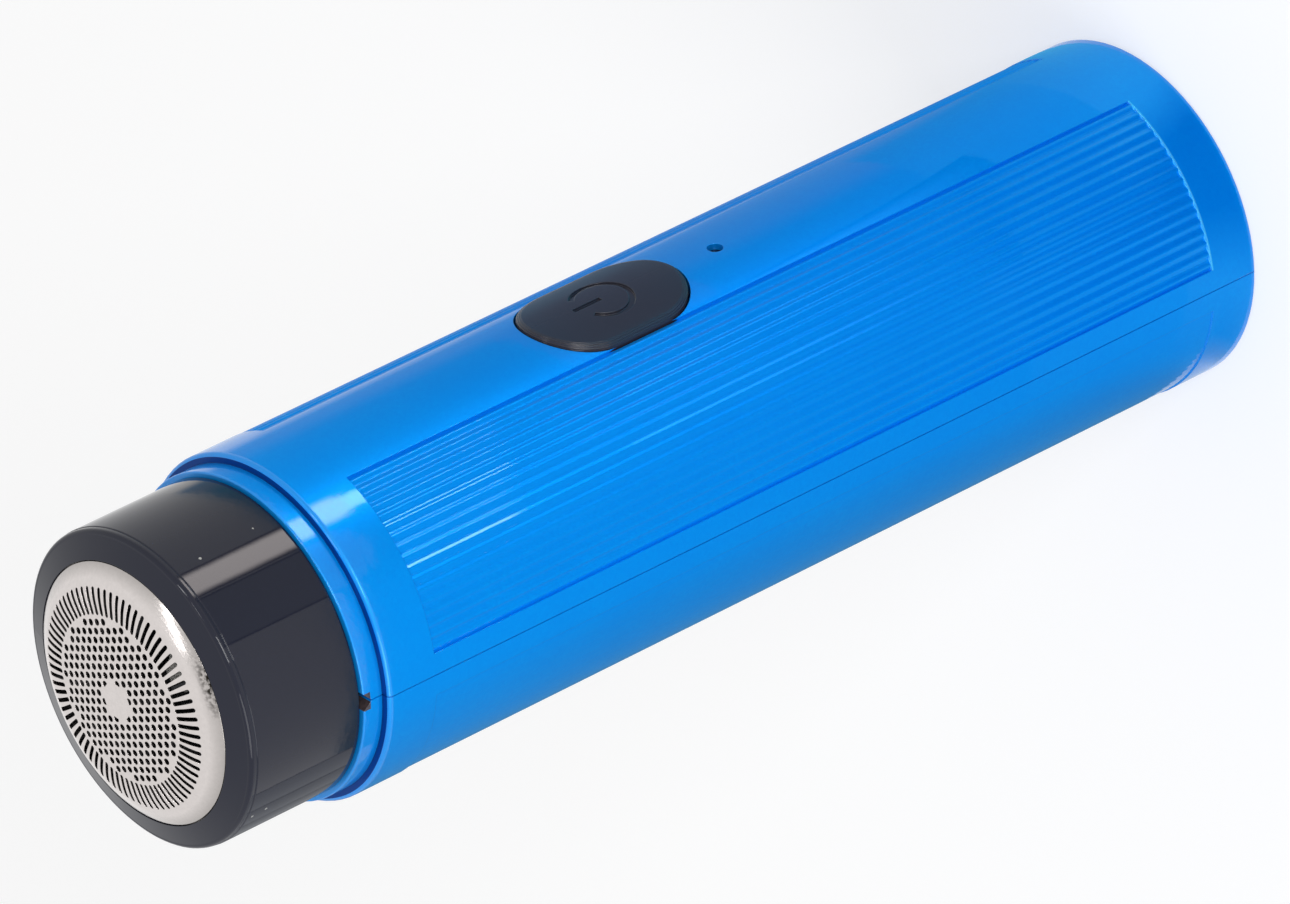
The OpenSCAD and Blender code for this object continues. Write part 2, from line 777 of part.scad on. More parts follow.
module cutter_blades() {
    color([0.75, 0.76, 0.78])
    difference() {
        union() {
            translate([0, 0, blade_ring_z]) cylinder(r = carrier_r, h = blade_ring_t, $fn = big_fn);
            intersection() {
                for (i = [0:blade_count - 1])
                    rotate(i * 360 / blade_count)
                        translate([blade_r0, 0, blade_ring_z]) rotate(blade_rake)
                            translate([0, -blade_t / 2, 0])
                                cube([blade_r1, blade_t, blade_h + cut]);
                translate([0, 0, blade_ring_z])
                    cylinder(r = blade_r1, h = blade_ring_t + blade_h + cut, $fn = big_fn);
                rotate_extrude($fn = big_fn) foil_section(foil_t + blade_gap);
            }
        }
        // Middle hole, and holes for the carrier's three rivet pins.
        translate([0, 0, blade_ring_z - cut])
            cylinder(r = ring_hole_r, h = blade_ring_t + 2 * cut, $fn = small_fn);
        for (i = [0:2])
            rotate((i * round(blade_count / 3) + 0.5) * 360 / blade_count)
                translate([pin_place, 0, blade_ring_z - cut])
                    cylinder(r = pin_r + pin_gap, h = blade_ring_t + 2 * cut, $fn = 24);
    }
}

module cutter_carrier() {
    color([0.9, 0.9, 0.88])
    difference() {
        union() {
            translate([0, 0, carrier_z0]) cylinder(r = carrier_r, h = carrier_t, $fn = big_fn);
            translate([0, 0, hub_z0])
                cylinder(r = carrier_hub_r, h = carrier_z1 - hub_z0, $fn = small_fn);
            for (i = [0:2])
                rotate((i * round(blade_count / 3) + 0.5) * 360 / blade_count)
                    translate([pin_place, 0, carrier_z0])
                        cylinder(r = pin_r, h = carrier_t + blade_ring_t + pin_over, $fn = 24);
        }
        translate([0, 0, hub_z0 - cut])
            cylinder(r = socket_r, h = carrier_z0 - hub_z0 + cut, $fn = 6);
        // Windows that let cut hair fall through the disc.
        for (i = [0:blade_count - 1])
            rotate(i * 360 / blade_count)
                translate([window_place, 0, carrier_z0 - cut])
                    cylinder(r = window_r, h = carrier_t + 2 * cut, $fn = 24);
    }
}

module cutter_spring() {
    z0 = coupler_z0 + coupler_flange_t + spring_wire / 2 + spring_gap;
    z1 = carrier_z0 - spring_wire / 2 - spring_gap;
    steps = 14;
    color([0.7, 0.71, 0.73])
    sweep([for (i = [0:spring_turns * steps])
        let (a = i * 360 / steps, t = i / (spring_turns * steps))
        [spring_r * cos(a), spring_r * sin(a), z0 + (z1 - z0) * t]], spring_wire / 2, [0, 0, 1]);
}

module drive_coupler() {
    color([0.85, 0.85, 0.82])
    difference() {
        union() {
            translate([0, 0, coupler_z0])
                cylinder(r = coupler_flange_r, h = coupler_flange_t, $fn = small_fn);
            translate([0, 0, coupler_z0])
                cylinder(r = drive_r, h = drive_top - coupler_z0, $fn = 6);
        }
        translate([0, 0, coupler_z0 - cut])
            cylinder(r = shaft_r, h = shaft_top - coupler_z0 + cut, $fn = small_fn);
    }
}

// ------------------------------------------------------------------- deck

module shaft_seal() {
    color([0.12, 0.12, 0.13])
    translate([0, 0, deck_top])
    difference() {
        cylinder(d = shaft_seal_d, h = shaft_seal_h, $fn = small_fn);
        translate([0, 0, -cut])
            cylinder(r = shaft_r + run_fit * 2, h = shaft_seal_h + 2 * cut, $fn = small_fn);
    }
}

module neck_deck() {
    groove_h = deck_seal_d + 2 * fit;
    seal_wall = 1;
    color([0.16, 0.16, 0.18])
    difference() {
        union() {
            translate([0, 0, deck_z]) cylinder(r = inner_r - fit, h = deck_t, $fn = big_fn);
            translate([0, 0, deck_z])
                cylinder(r = shaft_seal_d / 2 + fit + seal_wall,
                         h = deck_t + shaft_seal_h, $fn = small_fn);
        }
        // Groove for the rim seal.
        translate([0, 0, deck_z + (deck_t - groove_h) / 2]) difference() {
            cylinder(r = inner_r + cut, h = groove_h, $fn = big_fn);
            translate([0, 0, -cut])
                cylinder(r = inner_r - fit - deck_seal_d, h = groove_h + 2 * cut, $fn = big_fn);
        }
        translate([0, 0, deck_z - cut]) cylinder(d = boss_d + 2 * fit, h = boss_h + fit + cut,
                                                 $fn = small_fn);
        translate([0, 0, deck_z]) cylinder(r = shaft_r + 0.4, h = deck_t + cut, $fn = small_fn);
        translate([0, 0, deck_top])
            cylinder(d = shaft_seal_d + 2 * fit, h = shaft_seal_h + cut, $fn = small_fn);
        for (s = [-1, 1]) translate([s * motor_screw_r, 0, deck_z - cut]) {
            cylinder(d = motor_screw_d + 2 * fit, h = deck_t + 2 * cut, $fn = small_fn);
            translate([0, 0, cut + deck_t - motor_head_h])
                cylinder(r = motor_screw_d, h = motor_head_h + cut, $fn = small_fn);
        }
    }
}

module deck_seal() {
    color([0.1, 0.1, 0.1])
    translate([0, 0, deck_z + deck_t / 2])
        rotate_extrude($fn = big_fn)
            translate([inner_r - fit / 2 - deck_seal_d / 2, 0])
                circle(d = deck_seal_d - fit, $fn = 24);
}

module motor_screws() {
    color([0.6, 0.6, 0.62])
    for (s = [-1, 1])
        translate([s * motor_screw_r, 0, deck_top - motor_head_h])
            screw(motor_screw_d / 2, motor_screw_d - fit, motor_head_h - motor_head_gap,
                  deck_t - motor_head_h + can_t + motor_screw_over);
}

// ------------------------------------------------------------------ motor

// Outline of the can: a circle with two flats that face the front and back.
module can_outline(grow = 0) {
    intersection() {
        circle(r = motor_r + grow, $fn = big_fn);
        square([3 * motor_r, motor_flat + 2 * grow], center = true);
    }
}

module motor_can() {
    color([0.72, 0.73, 0.75])
    difference() {
        union() {
            translate([0, 0, motor_z0]) linear_extrude(motor_len) can_outline();
            translate([0, 0, deck_z]) cylinder(d = boss_d, h = boss_h, $fn = small_fn);
        }
        translate([0, 0, motor_z0 - cut]) linear_extrude(motor_len - can_t + cut)
            can_outline(-can_t);
        translate([0, 0, deck_z - can_t - cut])
            cylinder(r = shaft_r + run_fit, h = can_t + boss_h + 2 * cut, $fn = small_fn);
        for (s = [-1, 1])
            translate([s * motor_screw_r, 0, deck_z - can_t - cut])
                cylinder(d = motor_screw_d, h = can_t + 2 * cut, $fn = small_fn);
    }
}

module motor_magnets() {
    color([0.25, 0.25, 0.27])
    translate([0, 0, core_z0 - magnet_over]) linear_extrude(core_len + 2 * magnet_over)
        difference() {
            intersection() {
                can_outline(-can_t - magnet_gap);
                for (s = [-1, 1])
                    translate([s * motor_r, 0])
                        square([motor_r, motor_flat - 2 * can_t - 2 * magnet_over], center = true);
            }
            circle(r = magnet_r, $fn = big_fn);
        }
}

// One third of the armature's section: a pole with its curved shoe.
module pole_section() {
    translate([0, -pole_neck / 2]) square([armature_r - shoe_t / 2, pole_neck]);
    ring_sector(armature_r - shoe_t, armature_r, -pole_turn, pole_turn);
}

module motor_armature() {
    color([0.5, 0.5, 0.52])
    difference() {
        union() {
            translate([0, 0, core_z0]) linear_extrude(core_len) {
                for (a = [0, 120, 240]) rotate(a) pole_section();
                circle(r = hub_r, $fn = small_fn);
            }
            translate([0, 0, commutator_z0])
                cylinder(r = commutator_r, h = core_z0 - commutator_z0, $fn = small_fn);
        }
        translate([0, 0, commutator_z0 - cut])
            cylinder(r = shaft_r, h = core_z1 - commutator_z0 + 2 * cut, $fn = small_fn);
    }
}

module motor_windings() {
    coil_r0 = commutator_r + coil_gap;
    coil_r1 = armature_r - shoe_t - 6 * coil_gap;
    color([0.72, 0.38, 0.16])
    for (a = [0, 120, 240]) rotate(a)
        difference() {
            translate([coil_r0, -pole_neck / 2 - coil_w, core_z0 - coil_over / 2])
                cube([coil_r1 - coil_r0, pole_neck + 2 * coil_w, core_len + coil_over]);
            translate([0, -pole_neck / 2, core_z0])
                cube([armature_r, pole_neck, core_len]);
        }
}

module motor_shaft() {
    color([0.8, 0.8, 0.82])
    translate([0, 0, end_cap_z0 + shaft_foot])
        cylinder(r = shaft_r, h = shaft_top - end_cap_z0 - shaft_foot, $fn = small_fn);
}

module motor_end_cap() {
    color([0.92, 0.92, 0.9])
    difference() {
        union() {
            translate([0, 0, end_cap_z0]) linear_extrude(end_cap_t) can_outline();
            translate([0, 0, end_cap_z0 - end_boss_h])
                cylinder(r = shaft_r + end_boss_wall, h = end_boss_h + end_cap_t / 2,
                         $fn = small_fn);
        }
        translate([0, 0, end_cap_z0 + shaft_foot / 2])
            cylinder(r = shaft_r + run_fit, h = end_cap_t + cut, $fn = small_fn);
        for (s = [-1, 1])
            translate([s * terminal_x - brush_t / 2 - terminal_gap,
                       -terminal_w / 2 - terminal_gap, end_cap_z0 - cut])
                cube([brush_t + 2 * terminal_gap, terminal_w + 2 * terminal_gap,
                      end_cap_t + 2 * cut]);
    }
}

module motor_terminals() {
    arm_x = commutator_r + brush_gap;
    color([0.8, 0.6, 0.3])
    for (s = [0, 1]) mirror([s, 0, 0]) {
        translate([terminal_x - brush_t / 2, -terminal_w / 2, end_cap_z0 - terminal_len])
            cube([brush_t, terminal_w, terminal_len + end_cap_t + brush_t]);
        translate([arm_x, -terminal_w / 2, motor_z0])
            cube([terminal_x - arm_x, terminal_w, brush_t]);
        translate([arm_x, -terminal_w / 2, motor_z0])
            cube([brush_t, terminal_w, commutator_z1 - motor_z0 - brush_t]);
    }
}

// ---------------------------------------------------------------- chassis

module chassis() {
    rail_z0 = cradle_z0;
    saddle_z0 = motor_z0 - end_cap_t / 2;
    saddle_z1 = saddle_z0 + saddle_h;
    color([0.88, 0.88, 0.86])
    difference() {
        union() {
            // Half trough for the cell, open to the back shell, with end walls.
            translate([0, cell_y, cradle_z0]) linear_extrude(cradle_z1 - cradle_z0)
                intersection() {
                    circle(r = cradle_r, $fn = big_fn);
                    translate([-cradle_r, -cradle_r]) square([2 * cradle_r, cradle_r]);
                }
            // Rails on both sides, up to the saddle under the motor.
            for (s = [0, 1]) mirror([s, 0, 0])
                translate([rail_x0, rail_y0, rail_z0])
                    cube([rail_x1 - rail_x0, rail_t, saddle_z1 - rail_z0]);
            translate([0, 0, saddle_z0]) linear_extrude(saddle_h)
                can_outline(fit + saddle_wall);
            // Studs that carry the circuit board.
            for (s = [-1, 1], z = [stud_low, stud_high])
                translate([s * stud_x, rail_y0 + rail_t / 2, z]) rotate([90, 0, 0])
                    cylinder(r = stud_r, h = board_back + rail_y0 + rail_t / 2, $fn = small_fn);
        }
        // Room for the cell, its tabs and the motor.
        translate([0, cell_y, cradle_z0 + cradle_t])
            cylinder(r = trough_r, h = cradle_z1 - cradle_z0 - 2 * cradle_t, $fn = big_fn);
        for (z = [cell_z0 - tab_t - fit, cell_z1 + cell_button_h - fit])
            translate([-tab_w / 2 - fit, cell_y - cradle_r - cut, z])
                cube([tab_w + 2 * fit, cut + 2 * cradle_t, tab_t + 2 * fit]);
        translate([0, 0, end_cap_z0 - fit]) linear_extrude(saddle_z1 - end_cap_z0 + fit + cut)
            can_outline(fit);
        // Holes for the chassis screws and pilot holes in the studs.
        for (s = [-1, 1], z = [post_low, post_high])
            translate([s * post_x, rail_y0 - cut, z]) rotate([-90, 0, 0])
                cylinder(r = screw_shank_r + fit, h = rail_t + 2 * cut, $fn = small_fn);
        for (s = [-1, 1], z = [stud_low, stud_high])
            translate([s * stud_x, -board_back - cut, z]) rotate([-90, 0, 0])
                cylinder(r = stud_hole_r, h = board_screw_len + cut, $fn = small_fn);
    }
}

module chassis_screws() {
    color([0.6, 0.6, 0.62])
    for (s = [-1, 1], z = [post_low, post_high])
        translate([s * post_x, rail_y0, z]) rotate([90, 0, 0])
            screw(post_hole_r, screw_head_r, screw_head_h, screw_len);
}

// ---------------------------------------------------------------- battery

module battery_cell() {
    color([0.15, 0.45, 0.3])
    translate([0, cell_y, cell_z0]) {
        cylinder(r = cell_r, h = cell_len, $fn = big_fn);
        cylinder(r = cell_button_r, h = cell_len + cell_button_h, $fn = small_fn);
    }
}

module battery_tabs() {
    color([0.78, 0.78, 0.76])
    for (z = [cell_z0 - tab_t, cell_z1 + cell_button_h])
        translate([-tab_w / 2, tab_end_y, z])
            cube([tab_w, cell_y + cell_r / 2 - tab_end_y, tab_t]);
}

// ------------------------------------------------------------ electronics

module circuit_board() {
    color([0.05, 0.35, 0.2])
    difference() {
        translate([-board_w / 2, -board_y, board_z0])
            cube([board_w, board_t, board_z1 - board_z0]);
        for (s = [-1, 1], z = [stud_low, stud_high])
            translate([s * stud_x, -board_y - cut, z]) rotate([-90, 0, 0])
                cylinder(r = board_screw_r + fit, h = board_t + 2 * cut, $fn = small_fn);
    }
}

// A small part on the board's back face, in one of its rows.
module chip(x, row, w, h, t) {
    translate([x - w / 2, -board_back, stud_low + row * chip_row - h / 2]) cube([w, t, h]);
}

module board_parts() {
    color([0.1, 0.1, 0.11]) {
        chip(0, 1, chip_side * 1.25, chip_side * 1.5, chip_t);
        chip(-chip_side, 2, chip_side, chip_side, chip_t * 1.3);
        chip(chip_side * 0.75, 2, chip_side * 0.75, chip_side * 0.75, chip_t * 0.8);
        for (i = [-2:2]) chip(i * cap_pitch, 3, cap_side, cap_side * 1.6, chip_t * 0.4);
    }
}

module board_screws() {
    color([0.6, 0.6, 0.62])
    for (s = [-1, 1], z = [stud_low, stud_high])
        translate([s * stud_x, -board_y, z]) rotate([90, 0, 0])
            screw(stud_hole_r, board_screw_head_r, board_screw_head_h, board_screw_len);
}

module charge_socket() {
    color([0.75, 0.75, 0.77])
    translate([0, socket_y, socket_z0]) {
        difference() {
            linear_extrude(socket_len) stadium(socket_w, socket_h);
            translate([0, 0, -cut]) linear_extrude(socket_len - socket_back + cut)
                stadium(socket_w - 2 * socket_skin, socket_h - 2 * socket_skin);
        }
        translate([-socket_w / 2 + socket_tongue_in, -socket_tongue / 2, socket_tongue_z])
            cube([socket_w - 2 * socket_tongue_in, socket_tongue,
                  socket_len - socket_back / 2 - socket_tongue_z]);
    }
}

module switch_body() {
    color([0.12, 0.12, 0.13])
    difference() {
        translate([-switch_size / 2, -board_y - switch_h, button_z - switch_size / 2])
            cube([switch_size, switch_h, switch_size]);
        translate([0, 0, button_z])
            facing_front(board_y + switch_h - switch_well, board_y + switch_h + cut)
                circle(r = plunger_r + run_fit, $fn = small_fn);
    }
}

module switch_plunger() {
    depth = switch_well - switch_travel - press_slack;
    color([0.7, 0.2, 0.15])
    translate([0, 0, button_z]) facing_front(board_y + switch_h - depth, plunger_y1)
        circle(r = plunger_r, $fn = small_fn);
}

// Power symbol: a ring with a gap at its top and a bar through the gap.
module power_symbol() {
    r = symbol_d / 2;
    difference() {
        circle(r = r, $fn = small_fn);
        circle(r = r - symbol_line, $fn = small_fn);
        polygon([[0, 0], [-2 * r * sin(symbol_gap), 2 * r * cos(symbol_gap)],
                 [2 * r * sin(symbol_gap), 2 * r * cos(symbol_gap)]]);
    }
    translate([-symbol_line / 2, r * 0.05]) square([symbol_line, r * 1.05]);
}

module power_button() {
    color([0.13, 0.13, 0.14])
    difference() {
        union() {
            // Key with a face that follows the body and an edge that is rounded
            // in fine steps: each step is narrower and stands further out.
            for (i = [0:button_steps]) {
                a = 90 * i / button_steps;
                in = button_round * (1 - cos(a));
                intersection() {
                    translate([0, 0, button_z]) facing_front(flange_y1 - flange_t, button_face_r)
                        rotate(90) stadium(button_len - 2 * in, button_w - 2 * in);
                    cylinder(r = button_face_r - button_round * (1 - sin(a)), h = body_len,
                             $fn = big_fn);
                }
            }
            // Flange that stops the key behind the frame, and the pressing post.
            translate([0, 0, button_z]) facing_front(flange_y1 - flange_t, flange_y1)
                rotate(90) stadium(button_len + 2 * button_flange, button_w + 2 * button_flange);
            translate([0, 0, button_z]) facing_front(plunger_y1 + press_gap, flange_y1)
                circle(r = button_post_r, $fn = small_fn);
        }
        difference() {
            translate([0, 0, button_z]) facing_front(0, body_r + 2 * cut) power_symbol();
            cylinder(r = button_face_r - symbol_depth, h = body_len, $fn = big_fn);
        }
    }
}

module led() {
    color([0.95, 0.95, 0.85])
    translate([-led_w / 2, -board_y - led_h, led_z - led_h]) cube([led_w, led_h, 2 * led_h]);
}

module light_pipe() {
    color([0.8, 0.85, 0.9])
    translate([0, 0, led_z]) {
        facing_front(board_y + led_h + pipe_gap, body_r - pipe_sunk)
            circle(d = pipe_d, $fn = small_fn);
        facing_front(inner_r - pipe_rim_gap - pipe_rim_t, inner_r - pipe_rim_gap)
            circle(d = pipe_d + 2 * pipe_rim, $fn = small_fn);
    }
}

// ------------------------------------------------------------------ leads

module motor_leads() {
    color([0.75, 0.1, 0.1])
    for (s = [-1, 1]) {
        foot = [s * terminal_x, -terminal_w / 2 - wire_r, end_cap_z0 - terminal_len + lead_lap];
        pad = [s * lead_x, -board_back + lead_gap, foot[2] - lead_lap - lead_drop];
        reach = (foot[1] - pad[1]) / 2;
        sweep(bend(foot, foot - [0, 0, reach], pad + [0, reach, 0], pad), wire_r, [1, 0, 0]);
    }
}

module battery_leads() {
    color([0.1, 0.1, 0.12])
    for (z = [cell_z0 - tab_t, cell_z1 + cell_button_h]) {
        foot = [0, tab_end_y + lead_lap / 2, z + tab_t + wire_r];
        pad = [tab_lead_x, -board_back + lead_gap, z + tab_lead_rise];
        reach = (foot[1] - pad[1]) / 2;
        sweep(bend(foot, foot - [0, reach, 0], pad + [0, reach, 0], pad), wire_r, [1, 0, 0]);
    }
}

front_shell();
back_shell();
head_cap();
foil();
foil_retainer();
cutter_blades();
cutter_carrier();
cutter_spring();
drive_coupler();
shaft_seal();
neck_deck();
deck_seal();
motor_screws();
motor_can();
motor_magnets();
motor_armature();
motor_windings();
motor_shaft();
motor_end_cap();
motor_terminals();
chassis();
chassis_screws();
battery_cell();
battery_tabs();
circuit_board();
board_parts();
board_screws();
charge_socket();
switch_body();
switch_plunger();
power_button();
led();
light_pipe();
motor_leads();
battery_leads();
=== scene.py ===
# %% [markdown]
# # A pocket shaver and its finishes
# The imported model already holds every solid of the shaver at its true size: two
# moulded half shells, a glossy cap, a perforated steel foil, a key and everything
# inside. Nothing is moved or rebuilt here. What is left to do is what a finisher
# and a studio do: lacquer, moulding gloss, rolled and etched steel, then a
# table, lamps, cards for the reflections and a camera.

# %% Load the frame
import json
import math

import bpy
from mathutils import Matrix, Vector


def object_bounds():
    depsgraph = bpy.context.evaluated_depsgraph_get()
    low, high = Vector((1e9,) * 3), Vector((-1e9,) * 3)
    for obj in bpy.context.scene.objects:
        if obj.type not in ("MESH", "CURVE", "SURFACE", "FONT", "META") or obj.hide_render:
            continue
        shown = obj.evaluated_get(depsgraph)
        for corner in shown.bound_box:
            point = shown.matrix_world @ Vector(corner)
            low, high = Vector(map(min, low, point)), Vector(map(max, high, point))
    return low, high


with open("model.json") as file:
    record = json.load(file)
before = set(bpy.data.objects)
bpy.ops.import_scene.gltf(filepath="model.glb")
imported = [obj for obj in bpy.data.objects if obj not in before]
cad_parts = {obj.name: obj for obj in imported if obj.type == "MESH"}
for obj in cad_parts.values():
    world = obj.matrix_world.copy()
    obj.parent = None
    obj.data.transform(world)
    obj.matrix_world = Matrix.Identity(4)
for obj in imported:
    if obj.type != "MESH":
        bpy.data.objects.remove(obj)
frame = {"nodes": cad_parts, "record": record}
cad_low, cad_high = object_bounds()
print("nodes:", len(frame["nodes"]), "box:", [round(v * 1000, 2) for v in cad_high - cad_low])

# %% [markdown]
# ## Lengths and colours
# Every length here is written in millimetres and turned to metres once. Colours are
# written as the hex values that a paint chart gives, which are meant for a screen.
# Shaders work with linear light, so one function undoes the screen's curve.

# %% Units and colours
MM = 0.001


def linear(hex_colour):
    """Linear RGBA from an sRGB hex string."""
    channels = [int(hex_colour[i:i + 2], 16) / 255 for i in (0, 2, 4)]
    return [c / 12.92 if c <= 0.04045 else ((c + 0.055) / 1.055) ** 2.4
            for c in channels] + [1.0]


def per_mm(size):
    """Scale of a texture whose features are that many millimetres across."""
    return 1 / (size * MM)


print("mid grey 808080 in linear light:", round(linear("808080")[0], 3))
print("scale of a pattern 0.3 mm across:", round(per_mm(0.3)))

# %% [markdown]
# ## One way to add a node
# A material is a small graph. Adding a node, giving it its values and joining it to
# the nodes before it are always the same three steps, so one function does them: a
# value that is a socket becomes a link, and anything else is set on the socket. A
# Mix node has its colours at fixed places in its lists, which get names here.

# %% A node with its values and links
COLOUR_A, COLOUR_B, COLOUR_OUT = 6, 7, 2


def add(tree, kind, inputs=None, **settings):
    """A new node of that kind, with its settings, values and links."""
    made = tree.nodes.new(kind)
    for name, value in settings.items():
        setattr(made, name, value)
    for socket, value in (inputs or {}).items():
        if isinstance(value, bpy.types.NodeSocket):
            tree.links.new(value, made.inputs[socket])
        else:
            made.inputs[socket].default_value = value
    return made


print("kinds of node are named as in Blender", bpy.app.version_string)

# %% [markdown]
# ## The bones of every finish
# Each finish below differs in its numbers and in its texture, but all of them need a
# fresh node tree, the place of a point on the object in metres, and the shader that
# holds them. A moulded edge is never knife sharp either, so the bevel node rounds the
# normals over a tenth of a millimetre where two faces meet.

# %% Start a material
def blank(name):
    """A material with an empty node tree."""
    material = bpy.data.materials.new(name)
    material.use_nodes = True
    material.node_tree.nodes.clear()
    return material, material.node_tree


def new_finish(name, edge=0.08, **values):
    """A material with its shader, the object's coordinates and soft edges."""
    material, tree = blank(name)
    place = add(tree, "ShaderNodeTexCoord").outputs["Object"]
    rounded = add(tree, "ShaderNodeBevel", {"Radius": edge * MM}, samples=6).outputs["Normal"]
    shader = add(tree, "ShaderNodeBsdfPrincipled", {"Normal": rounded, **values})
    add(tree, "ShaderNodeOutputMaterial", {"Surface": shader.outputs["BSDF"]})
    return material, tree, place, shader, rounded


def from_axis(tree, place):
    """How far a point lies from the shaver's own axis, in metres."""
    across = add(tree, "ShaderNodeVectorMath", {0: place, 1: (1, 1, 0)}, operation="MULTIPLY")
    return add(tree, "ShaderNodeVectorMath", {0: across.outputs["Vector"]},
               operation="LENGTH").outputs["Value"]


finishes = {}
slots = {part["material_slot"] for part in frame["record"]["subparts"]}
print("finishes to make:", len(slots))

# %% [markdown]
# ## Bare notches with painted shade
# The collar has a small notch at each end of the seam between the half shells. The
# spray doesn't reach into it, so the bare moulding shows, and the shade inside it is
# painted on as a mottled near black. The faces could be picked by hand and given
# their own material. A mask from height and depth finds the same place, and still
# does when the solid is meshed anew.

# %% Bare notches with painted shade
NOTCH_Z, NOTCH_HALF = 104.87, 0.86
NOTCH_GRAIN, NOTCH_SHADE_DARK, NOTCH_SHADE_PALE = 0.4, "2A262C", "7A6A6A"


def bare_and_shaded_notches(tree, place, axes, colour):
    """The colour, with bare moulding and painted shade in the collar's notches."""
    high = add(tree, "ShaderNodeMath", {0: axes["Z"], 1: NOTCH_Z * MM},
               operation="GREATER_THAN")
    close = add(tree, "ShaderNodeMath", {0: axes["Y"], 1: 0.0, 2: NOTCH_HALF * MM},
                operation="COMPARE")
    in_notch = add(tree, "ShaderNodeMath", {0: high.outputs[0], 1: close.outputs[0]},
                   operation="MULTIPLY")
    # Painted shade: the bare moulding inside the notch goes a mottled near black.
    notch_noise = add(tree, "ShaderNodeTexNoise", {"Vector": place, "Scale": per_mm(NOTCH_GRAIN)})
    bare = add(tree, "ShaderNodeMix",
               {"Factor": notch_noise.outputs["Fac"], COLOUR_A: linear(NOTCH_SHADE_DARK),
                COLOUR_B: linear(NOTCH_SHADE_PALE)}, data_type="RGBA")
    mixed = add(tree, "ShaderNodeMix",
                {"Factor": in_notch.outputs[0], COLOUR_A: colour,
                 COLOUR_B: bare.outputs[COLOUR_OUT]}, data_type="RGBA")
    return mixed.outputs[COLOUR_OUT]


print("notches: above", NOTCH_Z, "mm and within", NOTCH_HALF, "mm of the seam")

# %% [markdown]
# ## Painted shade under the collar
# Where the collar rises from the shoulder there is a ledge less than a millimetre
# wide. Light hardly gets into such a corner, so it reads as a dark ring, and that
# shade is painted on: a deep blue and a thinner clear coat. It is marked by its
# height and its distance from the axis.

# %% Painted shade under the collar
SHOULDER_Z, SHOULDER_HALF, SHOULDER_EDGE = 103.5, 0.08, 16.15
LEDGE_SHADE_BLUE = "00428C"


def painted_ledge_shade(tree, place, axes, colour):
    """The colour, with painted shade on the ledge, and the mask of that ledge."""
    level = add(tree, "ShaderNodeMath", {0: axes["Z"], 1: SHOULDER_Z * MM,
                                         2: SHOULDER_HALF * MM}, operation="COMPARE")
    inside = add(tree, "ShaderNodeMath", {0: from_axis(tree, place), 1: SHOULDER_EDGE * MM},
                 operation="LESS_THAN")
    on_ledge = add(tree, "ShaderNodeMath", {0: level.outputs[0], 1: inside.outputs[0]},
                   operation="MULTIPLY").outputs[0]
    # Painted shade: the ledge turns deep blue.
    mixed = add(tree, "ShaderNodeMix", {"Factor": on_ledge, COLOUR_A: colour,
                                        COLOUR_B: linear(LEDGE_SHADE_BLUE)}, data_type="RGBA")
    return mixed.outputs[COLOUR_OUT], on_ledge


print("ledge: at", SHOULDER_Z, "mm, out to a radius of", SHOULDER_EDGE, "mm")

# %% [markdown]
# ## A painted highlight on one edge
# A thin, pale line at the foot of one ribbed panel is a painted highlight, the glint
# of light on that edge. It could be a sliver of its own with another finish, but it
# has no thickness, so it is paint: a band at the height of that edge, kept to the one
# panel by two limits.

# %% Painted edge highlight
EDGE_HIGHLIGHT_Z, EDGE_HIGHLIGHT_HALF, EDGE_HIGHLIGHT_X, EDGE_HIGHLIGHT_Y = 5.16, 0.1, -5.6, -2.1
EDGE_HIGHLIGHT_BLUE = "44C4FF"


def painted_edge_highlight(tree, axes, colour):
    """The colour, with a painted highlight line at the foot of the near panel."""
    highlighted = add(tree, "ShaderNodeMath", {0: axes["Z"], 1: EDGE_HIGHLIGHT_Z * MM,
                                          2: EDGE_HIGHLIGHT_HALF * MM}, operation="COMPARE")
    for value, limit in ((axes["X"], EDGE_HIGHLIGHT_X), (axes["Y"], EDGE_HIGHLIGHT_Y)):
        inside = add(tree, "ShaderNodeMath", {0: value, 1: limit * MM}, operation="LESS_THAN")
        highlighted = add(tree, "ShaderNodeMath", {0: highlighted.outputs[0], 1: inside.outputs[0]},
                     operation="MULTIPLY")
    # Painted highlight: a bright blue line on the panel's foot.
    mixed = add(tree, "ShaderNodeMix", {"Factor": highlighted.outputs[0], COLOUR_A: colour,
                                        COLOUR_B: linear(EDGE_HIGHLIGHT_BLUE)}, data_type="RGBA")
    return mixed.outputs[COLOUR_OUT]


print("rubbed line:", 2 * EDGE_HIGHLIGHT_HALF, "mm wide at", EDGE_HIGHLIGHT_Z, "mm")

# %% [markdown]
# ## Metallic blue lacquer on the shells
# The half shells are moulded ABS with a sprayed base coat full of aluminium flakes
# and a clear coat over it. The flakes are some 0.03 mm across, too fine to show, so
# they are drawn at 0.3 mm as a faint change of blue. The clear coat gives the second,
# sharper gloss and a slight orange peel, about 0.9 mm from crest to crest. A flake
# texture painted by hand would need the surface unwrapped, and this needs only a
# point's place. The coat is cut down on the ledge under the collar, as part of the
# painted shade there.

# %% Blue lacquer
FLAKE, CLOUD, PEEL, PEEL_DEPTH, PEEL_BUMP = 0.3, 6, 0.9, 0.011, 0.35
BASE_BLUE, FLAKE_BLUE = "0096F6", "00A0FA"
FLAKE_SHEEN = (0.34, 0.42)
COAT, COAT_ON_SHADED_LEDGE = 0.8, 0.15


